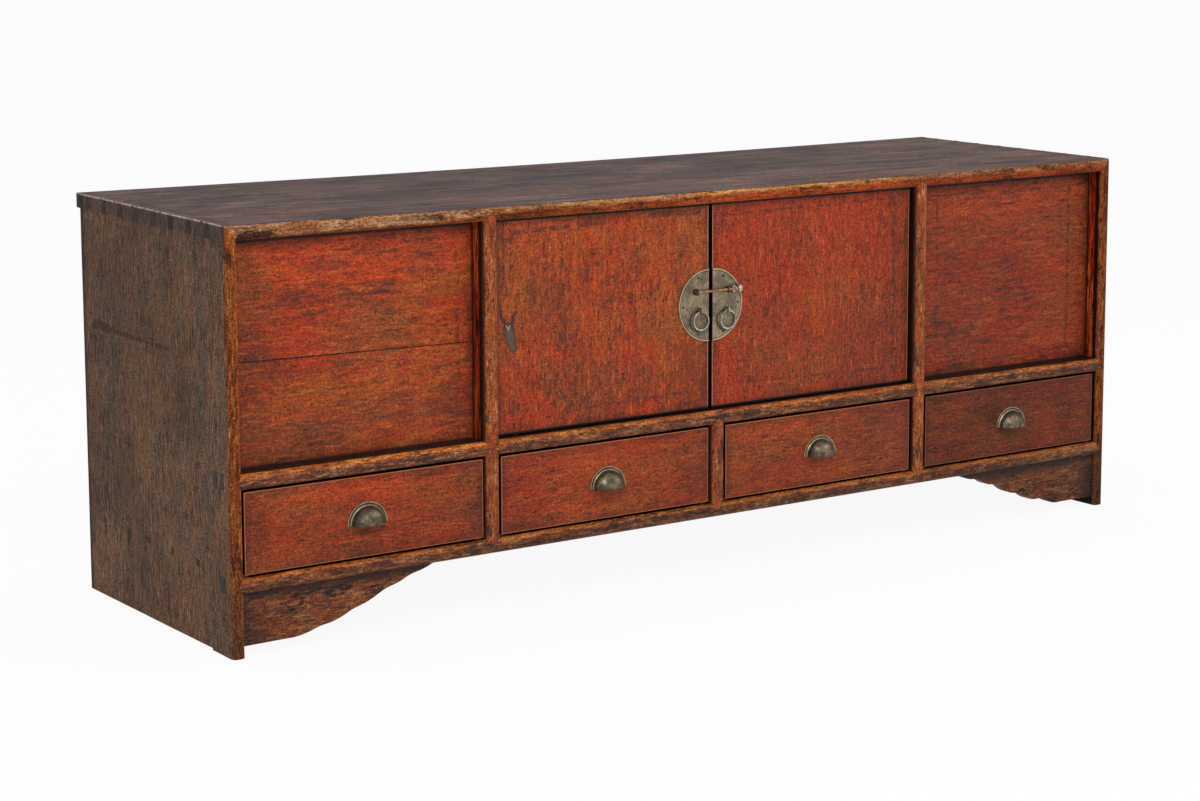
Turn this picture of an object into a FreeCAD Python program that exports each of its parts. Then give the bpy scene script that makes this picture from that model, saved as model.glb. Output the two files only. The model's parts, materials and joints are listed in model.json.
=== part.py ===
import FreeCAD, Part
import os
import re
import Sketcher

# A low Chinese sideboard in worn red lacquer: two doors on wooden pintles, four drawers below,
# two fixed side panels, and a round brass lock plate with ring pulls and a sliding lock pin.
# Millimetres, +Z up. The front faces -Y. The origin is on the floor under the middle of the piece.
# Lengths are the driving sizes below. Shares are plain ratios of the sizes that they follow.

SIZES = (
    # whole cabinet
    ("cabinet_width", 1646),
    ("cabinet_depth", 480),
    ("cabinet_height", 600),
    ("top_thickness", 22),
    ("top_rear_overhang", 12),
    ("side_thickness", 20),
    ("ground_clearance", 90),
    # feet: the side boards run down to the floor and are relieved between the two feet
    ("front_foot_depth", 65),
    ("rear_foot_depth", 40),
    ("foot_relief", 3),
    # front frame
    ("frame_depth", 52),
    ("post_width", 26),
    ("post_offset", 405),
    ("bottom_rail_height", 22),
    ("mid_rail_height", 22),
    ("drawer_opening_height", 123),
    ("post_round", 9),
    ("rail_round", 7),
    ("edge_round", 8),
    # pointed mitres, tenons and dovetails
    ("mitre_layer", 13),
    ("mitre_point", 9),
    ("tenon_front", 20),
    ("tenon_thickness", 15),
    ("tenon_length", 10),
    ("tenon_shoulder", 6.5),
    ("twin_tenon_front", 20),
    ("twin_tenon_thickness", 9),
    ("twin_tenon_spacing", 20),
    ("dovetail_start", 26),
    ("dovetail_narrow", 10),
    ("dovetail_wide", 18),
    ("board_tenon_first", 50),
    ("board_tenon_last", 44),
    # fixed panels, boards and guides
    ("groove_depth", 6),
    ("panel_thickness", 10),
    ("panel_recess", 30),
    ("panel_play", 0.4),
    ("floor_thickness", 12),
    ("bottom_thickness", 20),
    ("back_thickness", 10),
    ("back_inset", 4),
    ("lower_back_height", 230),
    ("guide_height", 30),
    # scalloped brackets under the bottom rail
    ("bracket_length", 300),
    ("bracket_drop", 74.5),
    ("bracket_thickness", 18),
    ("bracket_recess", 7),
    # doors
    ("door_recess", 15),
    ("door_thickness", 18),
    ("door_side_gap", 3),
    ("door_bottom_gap", 2.5),
    ("door_top_gap", 2),
    ("door_meeting_gap", 7.5),
    ("meeting_offset", 6.5),
    ("pintle_radius", 6),
    ("pintle_play", 0.08),
    ("pintle_length", 12),
    ("pintle_inset", 36),
    ("batten_height", 38),
    ("batten_thickness", 12),
    ("batten_inset", 45),
    ("batten_end", 22),
    # lock plate, eyes, rings and pin
    ("plate_radius", 56),
    ("plate_thickness", 1.5),
    ("plate_rim_width", 3),
    ("plate_rim_rise", 0.7),
    ("plate_height", 420),
    ("plate_nail_radius", 2),
    ("plate_nail_inset", 8),
    ("eye_collar_radius", 4.6),
    ("eye_collar_rise", 1.6),
    ("eye_radius", 3.8),
    ("eye_wire", 1.5),
    ("lock_eye_offset", 29),
    ("lock_eye_rise", 22),
    ("left_ring_offset", 22),
    ("right_ring_offset", 29),
    ("left_ring_drop", 7.5),
    ("right_ring_drop", 9.5),
    ("ring_radius", 14.5),
    ("ring_wire", 1.3),
    ("ring_seat_gap", 0.3),
    ("pin_radius", 1.8),
    ("pin_tip_gap", 0.5),
    ("pin_reach", 22),
    ("pin_knob_radius", 4.5),
    ("pin_collar_rise", 1.2),
    ("pin_collar_start", 6.5),
    ("pin_collar_length", 2.5),
    ("pin_lobe_start", 10.5),
    ("pin_lobe_radius", 3.2),
    ("pin_lobe_spread", 4.4),
    ("pin_bulb_start", 15),
    ("pin_bulb_radius", 4),
    # drawers
    ("drawer_recess", 3),
    ("drawer_rear_room", 63),
    ("drawer_left_gap", 2),
    ("drawer_bottom_gap", 4),
    ("drawer_top_gap", 3),
    ("drawer_run_gap", 0.3),
    ("drawer_front_thickness", 16),
    ("drawer_side_thickness", 9),
    ("drawer_side_height", 100),
    ("drawer_lap", 8),
    ("drawer_bottom_thickness", 7),
    ("drawer_bottom_lift", 9),
    ("drawer_groove", 4),
    ("drawer_1_right_gap", 3),
    ("drawer_2_right_gap", 5),
    ("drawer_3_right_gap", 7),
    ("drawer_4_right_gap", 9),
    # cup pulls
    ("pull_radius", 32),
    ("pull_flange", 1.6),
    ("dome_radius", 26),
    ("dome_reach", 21),
    ("dome_wall", 1.5),
    ("pull_lift", 47),
    ("pull_nail_radius", 1.4),
    ("pull_nail_inset", 3.4),
)

# Places worked out from the sizes. Each rule may use the words above it and the sizes.
RULES = {
    "half_width": "cabinet_width / 2",
    "inner_half": "half_width - side_thickness",
    "front": "(pull_reach - cabinet_depth - top_rear_overhang) / 2",
    "pull_reach": "dome_reach - drawer_recess",
    "top_underside": "cabinet_height - top_thickness",
    "bottom_rail_top": "ground_clearance + bottom_rail_height",
    "mid_rail_bottom": "bottom_rail_top + drawer_opening_height",
    "mid_rail_middle": "mid_rail_bottom + mid_rail_height / 2",
    "mid_rail_top": "mid_rail_bottom + mid_rail_height",
    "bottom_rail_middle": "ground_clearance + bottom_rail_height / 2",
    "post_left": "post_offset + post_width / 2",
    "post_right": "post_offset - post_width / 2",
    "bay_width": "inner_half - post_left",
    "back_front": "cabinet_depth - back_inset - back_thickness",
    "inner_depth": "back_front - frame_depth",
    "groove_bottom": "mid_rail_top - groove_depth",
    "twin_tenon_second": "twin_tenon_front + twin_tenon_spacing",
    "dovetail_pitch": "(cabinet_depth - dovetail_start) / dovetail_count",
    "board_tenon_run": "inner_depth - board_tenon_first - board_tenon_last",
    "board_tenon_pitch": "board_tenon_run / (board_tenon_count - 1)",
    "door_bottom": "mid_rail_top + door_bottom_gap",
    "door_height": "top_underside - door_top_gap - door_bottom",
    "left_door_edge": "-post_right + door_side_gap",
    "left_door_width": "-meeting_offset - door_meeting_gap / 2 - left_door_edge",
    "right_door_edge": "door_meeting_gap / 2 - meeting_offset",
    "right_door_width": "post_right - door_side_gap - right_door_edge",
    "plate_front": "door_recess - plate_thickness",
    "eye_centre": "plate_front - eye_collar_rise - eye_radius",
    "ring_sag": "eye_radius - eye_wire - ring_wire - ring_seat_gap",
    "drawer_length": "back_front - drawer_recess - drawer_rear_room",
    "drawer_front_height": "drawer_opening_height - drawer_bottom_gap - drawer_top_gap",
    "drawer_drop": "drawer_bottom_gap - drawer_run_gap",
    "drawer_floor_top": "drawer_bottom_lift + drawer_bottom_thickness",
    "dome_rise": "dome_reach - pull_flange",
    "dome_ball": "(dome_radius * dome_radius + dome_rise * dome_rise) / (2 * dome_rise)",
    "dome_centre": "dome_ball - dome_reach",
    "hollow_ball": "dome_ball - dome_wall",
    "hollow_radius": "sqrt(hollow_ball * hollow_ball - dome_centre * dome_centre)",
}
COUNTS = {"dovetail_count": 8, "board_tenon_count": 5}

# Outline of a bracket, from the rail down to the side board, in turn a lobe and a cove: where
# each starts, as shares of the bracket's length and drop, and its swell as a share of its chord.
SCALLOP_SHARES = (
    (1, 0, 0.08),
    (0.9, 0.13, -0.08),
    (0.85, 0.2, 0.08),
    (0.765, 0.32, -0.08),
    (0.7, 0.43, 0.09),
    (0.59, 0.61, -0.08),
    (0.535, 0.695, 0.1),
    (0.44, 0.83, -0.08),
    (0.355, 0.905, 0.08),
    (0.25, 0.99, 0),
    (0, 1, 0),
)
# Where the three nails of half a lock plate sit, in half turns from straight up.
NAIL_TURN_SHARES = (0.14, 0.5, 0.86)

X_AXIS = FreeCAD.Vector(1, 0, 0)
Y_AXIS = FreeCAD.Vector(0, 1, 0)
Z_AXIS = FreeCAD.Vector(0, 0, 1)
QUARTER_TURN = 90
HALF_TURN = 180
TOUCHING = 1e-6
WORD = re.compile(r"[a-z]\w*")
AXES = ("x", "y", "z")

doc = FreeCAD.newDocument("wedding_cabinet")
sheet = doc.addObject("Spreadsheet::Sheet", "Sizes")
for row, (alias, number) in enumerate(SIZES, start=1):
    sheet.set(f"A{row}", alias)
    sheet.set(f"B{row}", str(number))
    sheet.setAlias(f"B{row}", alias)
doc.recompute()
ALIASES = {alias for alias, _ in SIZES}
sub_parts = []


def bound(rule):
    """Turn a rule in plain size words into an expression on the sheet's cells."""
    def expand(match):
        word = match.group()
        if word in COUNTS:
            return str(COUNTS[word])
        if word in RULES:
            return f"({bound(RULES[word])})"
        if word in ALIASES:
            return f"{sheet.Name}.{word}"
        return word
    return WORD.sub(expand, rule)


def value(rule):
    """The rule's number in millimetres, as the sheet gives it now."""
    return float(sheet.evalExpression(bound(rule)))


def bind(target, prop, rule):
    target.setExpression(prop, bound(rule))


def place(target, spot, turn=None):
    """Put a piece at a spot given from the cabinet's middle, its front plane and the floor."""
    if turn:
        target.Placement.Rotation = FreeCAD.Rotation(*turn)
    along, back, up = spot
    bind(target, "Placement.Base.x", along)
    bind(target, "Placement.Base.y", f"front + {back}")
    bind(target, "Placement.Base.z", up)


def shift(target, spot, turn=None):
    """Put a tool or a member of a group at a spot in its owner's own frame."""
    if turn:
        target.Placement.Rotation = FreeCAD.Rotation(*turn)
    for axis, rule in zip(AXES, spot):
        bind(target, f"Placement.Base.{axis}", rule)


def primitive(kind, name, **rules):
    made = doc.addObject(f"Part::{kind}", name)
    for prop, rule in rules.items():
        bind(made, prop, rule)
    return made


def named(made, label):
    made.Label = label
    sub_parts.append(made)
    return made


def slab(label, spot, length, depth, height):
    """A plain sawn board."""
    made = primitive("Box", label, Length=length, Width=depth, Height=height)
    place(made, spot)
    return named(made, label)


def fused(name, *members):
    made = doc.addObject("Part::MultiFuse", name)
    made.Shapes = list(members)
    return made


def grouped(name, *members):
    made = doc.addObject("Part::Compound", name)
    made.Links = list(members)
    return made


def cut_out(name, base, tool):
    made = doc.addObject("Part::Cut", name)
    made.Base = base
    made.Tool = tool
    return made


def mirrored(source, label):
    """The right-hand twin of a left-hand piece."""
    made = doc.addObject("Part::Mirroring", label)
    made.Source = source
    made.Normal = X_AXIS
    return named(made, label)


def rectangle(left, low, right, high):
    return [(left, low), (right, low), (right, high), (left, high)]


class Piece:
    """A piece worked from sketches: outlines are padded on and cut away one after another."""

    # For each view: its origin plane, the sign of a start along the plane's normal, and whether
    # a pad is turned round to run towards the back, the right or the top.
    VIEWS = {
        "front": ("XZ_Plane", "-", True),
        "side": ("YZ_Plane", "", False),
        "top": ("XY_Plane", "", False),
    }

    def __init__(self, label, spot=None):
        self.label = label
        self.body = doc.addObject("PartDesign::Body", label)
        if spot:
            place(self.body, spot)
            named(self.body, label)

    def sketch(self, view, outlines, start):
        role, sign, _ = self.VIEWS[view]
        drawn = self.body.newObject("Sketcher::SketchObject", f"{self.label}_outline")
        plane = next(item for item in self.body.Origin.OriginFeatures if item.Role == role)
        drawn.AttachmentSupport = [(plane, "")]
        drawn.MapMode = "FlatFace"
        bind(drawn, "AttachmentOffset.Base.z", f"{sign}({start})")
        for outline in outlines:
            draw_outline(drawn, outline)
        return drawn

    def feature(self, kind, view, outlines, length, start, turned):
        made = self.body.newObject(f"PartDesign::{kind}", f"{self.label}_{kind.lower()}")
        made.Profile = self.sketch(view, outlines, start)
        bind(made, "Length", length)
        made.Reversed = turned
        return made

    def pad(self, view, outlines, length, start="0"):
        self.feature("Pad", view, outlines, length, start, self.VIEWS[view][2])

    def cut(self, view, outlines, length, start="0"):
        """Cut from the start towards the back, the right or the top."""
        doc.recompute()
        before = self.body.Shape.Volume
        self.feature("Pocket", view, outlines, length, start, not self.VIEWS[view][2])
        doc.recompute()
        if not self.body.Shape.Volume < before:
            raise ValueError(f"{self.label}: a cut removes nothing")

    def bore(self, centres, radius, length, start="0"):
        """Round holes seen from the top."""
        self.cut("top", [(centre, radius) for centre in centres], length, start)

    def turn(self, outlines):
        """Turn a profile, seen from the top, half way round an axis towards the back."""
        made = self.body.newObject("PartDesign::Revolution", f"{self.label}_turned")
        made.Profile = self.sketch("top", outlines, "0")
        made.ReferenceAxis = (made.Profile[0], ["V_Axis"])
        made.Angle = HALF_TURN
        made.Reversed = True

    def round_front(self, radius, axis):
        """Round the edges of the front face that run along the given axis."""
        doc.recompute()
        base = self.body.Tip
        names = []
        for index, edge in enumerate(base.Shape.Edges, start=1):
            box = edge.BoundBox
            reach = {"x": box.XLength, "y": box.YLength, "z": box.ZLength}
            flat = all(reach[other] < TOUCHING for other in AXES if other != axis)
            if flat and abs(box.YMax) < TOUCHING:
                names.append(f"Edge{index}")
        made = self.body.newObject("PartDesign::Fillet", f"{self.label}_round")
        made.Base = (base, names)
        bind(made, "Radius", radius)


def draw_outline(drawn, outline):
    """Draw one closed outline. A corner may carry a third and a fourth rule: the edge that
    leaves it is then an arc through that point. A pair (centre, radius) is a circle."""
    first = drawn.GeometryCount
    if isinstance(outline, tuple):
        (across, up), radius = outline
        centre = FreeCAD.Vector(value(across), value(up), 0)
        drawn.addGeometry(Part.Circle(centre, Z_AXIS, value(radius)))
        hold_point(drawn, first, 3, across, up)
        index = drawn.addConstraint(Sketcher.Constraint("Radius", first, value(radius)))
        bind(drawn, f"Constraints[{index}]", radius)
        return
    corners = [FreeCAD.Vector(value(corner[0]), value(corner[1]), 0) for corner in outline]
    followers = corners[1:] + corners[:1]
    for corner, here, there in zip(outline, corners, followers):
        if len(corner) > 2:
            through = FreeCAD.Vector(value(corner[2]), value(corner[3]), 0)
            drawn.addGeometry(Part.Arc(here, through, there))
        else:
            drawn.addGeometry(Part.LineSegment(here, there))
    ends = arc_ends(drawn, first, corners)
    for index, corner in enumerate(outline):
        follower = (index + 1) % len(outline)
        join = (first + index, ends[index][1], first + follower, ends[follower][0])
        drawn.addConstraint(Sketcher.Constraint("Coincident", *join))
    for index, corner in enumerate(outline):
        hold_point(drawn, first + index, ends[index][0], corner[0], corner[1])
        if len(corner) > 2:
            spot = FreeCAD.Vector(value(corner[2]), value(corner[3]), 0)
            guide = drawn.addGeometry(Part.Point(spot), True)
            hold_point(drawn, guide, 1, corner[2], corner[3])
            touch = Sketcher.Constraint("PointOnObject", guide, 1, first + index)
            drawn.addConstraint(touch)


def arc_ends(drawn, first, corners):
    """For each edge, which of its ends lies on its own corner: arcs always run one way round."""
    ends = []
    for index, corner in enumerate(corners):
        starts_here = drawn.getPoint(first + index, 1).isEqual(corner, TOUCHING)
        ends.append((1, 2) if starts_here else (2, 1))
    return ends


def hold_point(drawn, geometry, end, across, up):
    """Tie one point of a sketch to its two rules."""
    for kind, rule in (("DistanceX", across), ("DistanceY", up)):
        tie = Sketcher.Constraint(kind, -1, 1, geometry, end, value(rule))
        index = drawn.addConstraint(tie)
        bind(drawn, f"Constraints[{index}]", rule)


def dovetails(top, base):
    """The outlines of the top board's pins, seen from the side, from the base line to the top."""
    outlines = []
    for index in range(COUNTS["dovetail_count"]):
        middle = f"dovetail_start + ({index} + 1 / 2) * dovetail_pitch"
        outlines.append([
            (f"{middle} - dovetail_wide / 2", base),
            (f"{middle} + dovetail_wide / 2", base),
            (f"{middle} + dovetail_narrow / 2", top),
            (f"{middle} - dovetail_narrow / 2", top),
        ])
    return outlines


def board_tenons(base, low, high):
    """Five through tenons along the bottom board's end, seen from the side."""
    outlines = []
    for index in range(COUNTS["board_tenon_count"]):
        near = f"{base} + board_tenon_first + {index} * board_tenon_pitch"
        outlines.append(rectangle(near, low, f"{near} + tenon_thickness", high))
    return outlines


def side_point(edge, inward, low, middle, high):
    """A notch for a rail's pointed end, seen from the front."""
    return [(edge, low), (edge, high), (f"{edge} {inward} mitre_point", middle)]


def make_side_board():
    """One plank from the floor to the top: its front edge is the outer stile."""
    piece = Piece("left_side_board", ("-half_width", "0", "0"))
    profile = [
        ("0", "0"),
        ("front_foot_depth", "0"),
        ("front_foot_depth", "foot_relief"),
        ("cabinet_depth - rear_foot_depth", "0"),
        ("cabinet_depth", "0"),
        ("cabinet_depth", "cabinet_height"),
        ("0", "cabinet_height"),
    ]
    piece.pad("side", [profile], "side_thickness")
    piece.round_front("edge_round", "z")
    mitre = [
        ("0", "cabinet_height"),
        ("side_thickness", "top_underside"),
        ("side_thickness", "cabinet_height"),
    ]
    piece.cut("front", [mitre], "dovetail_start")
    piece.cut("side", dovetails("cabinet_height", "top_underside"), "side_thickness")
    points = [
        side_point("side_thickness", "-", "mid_rail_bottom", "mid_rail_middle", "mid_rail_top"),
        side_point("side_thickness", "-", "ground_clearance", "bottom_rail_middle",
                   "bottom_rail_top"),
    ]
    piece.cut("front", points, "mitre_layer")
    mortises = [
        rectangle(near, "mid_rail_bottom", f"{near} + twin_tenon_thickness", "mid_rail_top")
        for near in ("twin_tenon_front", "twin_tenon_second")
    ]
    mortises.append(rectangle("tenon_front", "ground_clearance",
                              "tenon_front + tenon_thickness", "bottom_rail_top"))
    mortises += board_tenons("frame_depth", "bottom_rail_top - bottom_thickness",
                             "bottom_rail_top")
    piece.cut("side", mortises, "side_thickness")
    grooves = [
        rectangle("panel_recess", "groove_bottom", "panel_recess + panel_thickness",
                  "top_underside"),
        rectangle("frame_depth", "mid_rail_top - floor_thickness", "back_front",
                  "mid_rail_top"),
    ]
    piece.cut("side", grooves, "groove_depth", "side_thickness - groove_depth")
    mirrored(piece.body, "right_side_board")


def make_top_board():
    """The plank top: dovetailed to the sides behind a mitred front corner."""
    piece = Piece("top_board", ("0", "0", "top_underside"))
    depth = "cabinet_depth + top_rear_overhang"
    piece.pad("top", [rectangle("-inner_half", "0", "inner_half", depth)], "top_thickness")
    tails = dovetails("top_thickness", "0")
    tails.append(rectangle("cabinet_depth", "0", depth, "top_thickness"))
    for start in ("-half_width", "inner_half"):
        piece.pad("side", tails, "side_thickness", start)
    corners = []
    for sign in ("-", ""):
        corners.append([
            (f"{sign}half_width", "top_thickness"),
            (f"{sign}inner_half", "0"),
            (f"{sign}inner_half", "top_thickness"),
        ])
    piece.pad("front", corners, "dovetail_start")
    piece.round_front("edge_round", "x")
    notches = []
    mortises = []
    for middle in ("-post_offset", "post_offset"):
        notches.append([
            (f"{middle} - post_width / 2", "0"),
            (f"{middle} + post_width / 2", "0"),
            (middle, "mitre_point"),
        ])
        mortises.append(post_tenon(middle))
    piece.cut("front", notches, "mitre_layer")
    piece.cut("top", mortises, "tenon_length")
    centres = [(along, "door_recess + door_thickness / 2") for along in pintle_places()]
    piece.bore(centres, "pintle_radius + pintle_play", "pintle_length + pintle_play")


def pintle_places():
    """Where the two door axes stand, from the cabinet's middle."""
    return (
        "left_door_edge + pintle_inset",
        "right_door_edge + right_door_width - pintle_inset",
    )


def post_tenon(middle):
    """The square tenon of a post, seen from the top."""
    return rectangle(f"{middle} - post_width / 2 + tenon_shoulder", "tenon_front",
                     f"{middle} + post_width / 2 - tenon_shoulder",
                     "tenon_front + tenon_thickness")


def make_post(label, middle, height):
    """An upright of the front frame, pointed into the members above and below."""
    piece = Piece(label, (f"{middle} - post_width / 2", "0", "bottom_rail_top"))
    layer = rectangle("0", "-mitre_point", "post_width", f"{height} + mitre_point")
    piece.pad("front", [layer], "mitre_layer")
    rear = rectangle("0", "0", "post_width", height)
    piece.pad("front", [rear], "frame_depth - mitre_layer", "mitre_layer")
    piece.round_front("post_round", "z")
    waste = []
    for shoulder, tip in (("0", "-mitre_point"), (height, f"{height} + mitre_point")):
        for edge in ("0", "post_width"):
            waste.append([(edge, shoulder), ("post_width / 2", tip), (edge, tip)])
    piece.cut("front", waste, "mitre_layer")
    tenon = [post_tenon("post_width / 2")]
    piece.pad("top", tenon, "tenon_length", "-tenon_length")
    piece.pad("top", tenon, "tenon_length", height)
    return piece


def notch_post(piece):
    """Notches and stub mortises for the middle rails, and the groove for the fixed panel."""
    low = "mid_rail_bottom - bottom_rail_top"
    high = "mid_rail_top - bottom_rail_top"
    middle = "mid_rail_middle - bottom_rail_top"
    points = [
        side_point("0", "+", low, middle, high),
        side_point("post_width", "-", low, middle, high),
    ]
    piece.cut("front", points, "mitre_layer")
    stub = [rectangle("tenon_front", f"{low} + tenon_shoulder",
                      "tenon_front + tenon_thickness", f"{high} - tenon_shoulder")]
    piece.cut("side", stub, "tenon_length")
    piece.cut("side", stub, "tenon_length", "post_width - tenon_length")
    groove = rectangle("panel_recess", "groove_bottom - bottom_rail_top",
                       "panel_recess + panel_thickness", "top_underside - bottom_rail_top")
    piece.cut("side", [groove], "groove_depth")


def make_rail(label, left, low, length, height):
    """A cross member of the front frame, pointed into the uprights at both ends."""
    piece = Piece(label, (left, "0", low))
    layer = rectangle("-mitre_point", "0", f"{length} + mitre_point", height)
    piece.pad("front", [layer], "mitre_layer")
    rear = rectangle("0", "0", length, height)
    piece.pad("front", [rear], "frame_depth - mitre_layer", "mitre_layer")
    piece.round_front("rail_round", "x")
    waste = []
    for shoulder, tip in (("0", "-mitre_point"), (length, f"{length} + mitre_point")):
        for edge in ("0", height):
            waste.append([(shoulder, edge), (tip, f"{height} / 2"), (tip, edge)])
    piece.cut("front", waste, "mitre_layer")
    return piece


def seat_posts(piece, middles, face, point, mortise_start):
    """Notches and mortises in a rail for the posts that stand on it or hang from it."""
    notches = []
    mortises = []
    for middle in middles:
        notches.append([
            (f"{middle} - post_width / 2", face),
            (f"{middle} + post_width / 2", face),
            (middle, point),
        ])
        mortises.append(post_tenon(middle))
    piece.cut("front", notches, "mitre_layer")
    piece.cut("top", mortises, "tenon_length", mortise_start)


def make_bottom_rail():
    piece = make_rail("bottom_rail", "-inner_half", "ground_clearance", "2 * inner_half",
                      "bottom_rail_height")
    tenon = [rectangle("tenon_front", "0", "tenon_front + tenon_thickness",
                       "bottom_rail_height")]
    piece.pad("side", tenon, "side_thickness", "-side_thickness")
    piece.pad("side", tenon, "side_thickness", "2 * inner_half")
    middles = ("inner_half - post_offset", "inner_half", "inner_half + post_offset")
    seat_posts(piece, middles, "bottom_rail_height", "bottom_rail_height - mitre_point",
               "bottom_rail_height - tenon_length")


def make_mid_rails():
    """Two side rails with twin tenons through the side boards, and the rail under the doors."""
    piece = make_rail("left_mid_rail", "-inner_half", "mid_rail_bottom", "bay_width",
                      "mid_rail_height")
    twins = [
        rectangle(near, "0", f"{near} + twin_tenon_thickness", "mid_rail_height")
        for near in ("twin_tenon_front", "twin_tenon_second")
    ]
    piece.pad("side", twins, "side_thickness", "-side_thickness")
    stub = [rectangle("tenon_front", "tenon_shoulder", "tenon_front + tenon_thickness",
                      "mid_rail_height - tenon_shoulder")]
    piece.pad("side", stub, "tenon_length", "bay_width")
    groove = rectangle("0", "panel_recess", "bay_width", "panel_recess + panel_thickness")
    piece.cut("top", [groove], "groove_depth", "mid_rail_height - groove_depth")
    mirrored(piece.body, "right_mid_rail")

    piece = make_rail("centre_mid_rail", "-post_right", "mid_rail_bottom", "2 * post_right",
                      "mid_rail_height")
    piece.pad("side", stub, "tenon_length", "-tenon_length")
    piece.pad("side", stub, "tenon_length", "2 * post_right")
    seat_posts(piece, ("post_right",), "0", "mitre_point", "0")
    centres = [
        (f"post_right + {along}", "door_recess + door_thickness / 2")
        for along in pintle_places()
    ]
    piece.bore(centres, "pintle_radius + pintle_play", "pintle_length + pintle_play",
               "mid_rail_height - pintle_length - pintle_play")


def make_posts():
    full = "(top_underside - bottom_rail_top)"
    piece = make_post("left_post", "-post_offset", full)
    notch_post(piece)
    mirrored(piece.body, "right_post")
    make_post("centre_post", "0", "drawer_opening_height")


def make_panels_and_boards():
    """The fixed front panels, the boards inside and behind, and the drawer guides."""
    bite = "(groove_depth - panel_play)"
    panel = slab("left_front_panel", (f"-inner_half - {bite}", "panel_recess",
                                      "groove_bottom + panel_play"),
                 f"bay_width + 2 * {bite}", "panel_thickness",
                 "top_underside - groove_bottom - 2 * panel_play")
    mirrored(panel, "right_front_panel")
    slab("cupboard_floor", ("-inner_half - groove_depth", "frame_depth",
                            "mid_rail_top - floor_thickness"),
         "2 * inner_half + 2 * groove_depth", "inner_depth", "floor_thickness")
    slab("lower_back_board", ("-inner_half", "back_front", "bottom_rail_top"),
         "2 * inner_half", "back_thickness", "lower_back_height")
    slab("upper_back_board", ("-inner_half", "back_front",
                              "bottom_rail_top + lower_back_height"),
         "2 * inner_half", "back_thickness",
         "top_underside - bottom_rail_top - lower_back_height")
    guide = slab("left_guide", ("-post_left", "frame_depth", "bottom_rail_top"),
                 "post_width", "inner_depth", "guide_height")
    mirrored(guide, "right_guide")
    slab("centre_guide", ("-post_width / 2", "frame_depth", "bottom_rail_top"),
         "post_width", "inner_depth", "guide_height")


def make_bottom_board():
    piece = Piece("bottom_board", ("-inner_half", "frame_depth",
                                   "bottom_rail_top - bottom_thickness"))
    outline = rectangle("0", "0", "2 * inner_half", "cabinet_depth - back_inset - frame_depth")
    piece.pad("top", [outline], "bottom_thickness")
    for start in ("-side_thickness", "2 * inner_half"):
        piece.pad("side", board_tenons("0", "0", "bottom_thickness"), "side_thickness", start)


def make_brackets():
    """A scalloped bracket in the corner of the side board and the bottom rail."""
    piece = Piece("left_bracket", ("-inner_half", "bracket_recess", "ground_clearance"))
    outline = [("0", "0")]
    followers = SCALLOP_SHARES[1:] + SCALLOP_SHARES[:1]
    for (along, down, swell), (next_along, next_down, _) in zip(SCALLOP_SHARES, followers):
        corner = (f"{along} * bracket_length", f"-{down} * bracket_drop")
        if swell:
            middle_along = f"({along} + {next_along}) / 2 * bracket_length"
            middle_down = f"({down} + {next_down}) / 2 * bracket_drop"
            run = f"({along} - {next_along}) * bracket_length"
            fall = f"({next_down} - {down}) * bracket_drop"
            corner += (f"{middle_along} + ({swell}) * {fall}",
                       f"-({middle_down} + ({swell}) * {run})")
        outline.append(corner)
    piece.pad("front", [outline], "bracket_thickness")
    mirrored(piece.body, "right_bracket")


def make_door(side, left, width, pintle):
    """A plank door with a round pintle at the top and the bottom, and two battens behind."""
    piece = Piece(f"{side}_door", (left, "door_recess", "door_bottom"))
    piece.pad("top", [rectangle("0", "0", width, "door_thickness")], "door_height")
    seat = [((pintle, "door_thickness / 2"), "pintle_radius")]
    piece.pad("top", seat, "door_bottom_gap + pintle_length",
              "-door_bottom_gap - pintle_length")
    piece.pad("top", seat, "door_top_gap + pintle_length", "door_height")
    battens = []
    for name, low in (("lower", "batten_inset"),
                      ("upper", "door_height - batten_inset - batten_height")):
        batten = primitive("Box", f"{side}_{name}_batten", Length=f"{width} - 2 * batten_end",
                           Width="batten_thickness", Height="batten_height")
        shift(batten, ("batten_end", "door_thickness", low))
        battens.append(batten)
    group = grouped(f"{side}_door_battens", *battens)
    place(group, (left, "door_recess", "door_bottom"))
    named(group, f"{side}_door_battens")


def half_disc(name, radius, height, sign):
    """Half a round plate that lies against a door: sign says which half."""
    disc = primitive("Cylinder", name, Radius=radius, Height=height)
    disc.Angle = HALF_TURN
    tilt = FreeCAD.Rotation(X_AXIS, QUARTER_TURN)
    half = FreeCAD.Rotation(Z_AXIS, -sign * QUARTER_TURN)
    disc.Placement.Rotation = tilt.multiply(half)
    return disc


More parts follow.
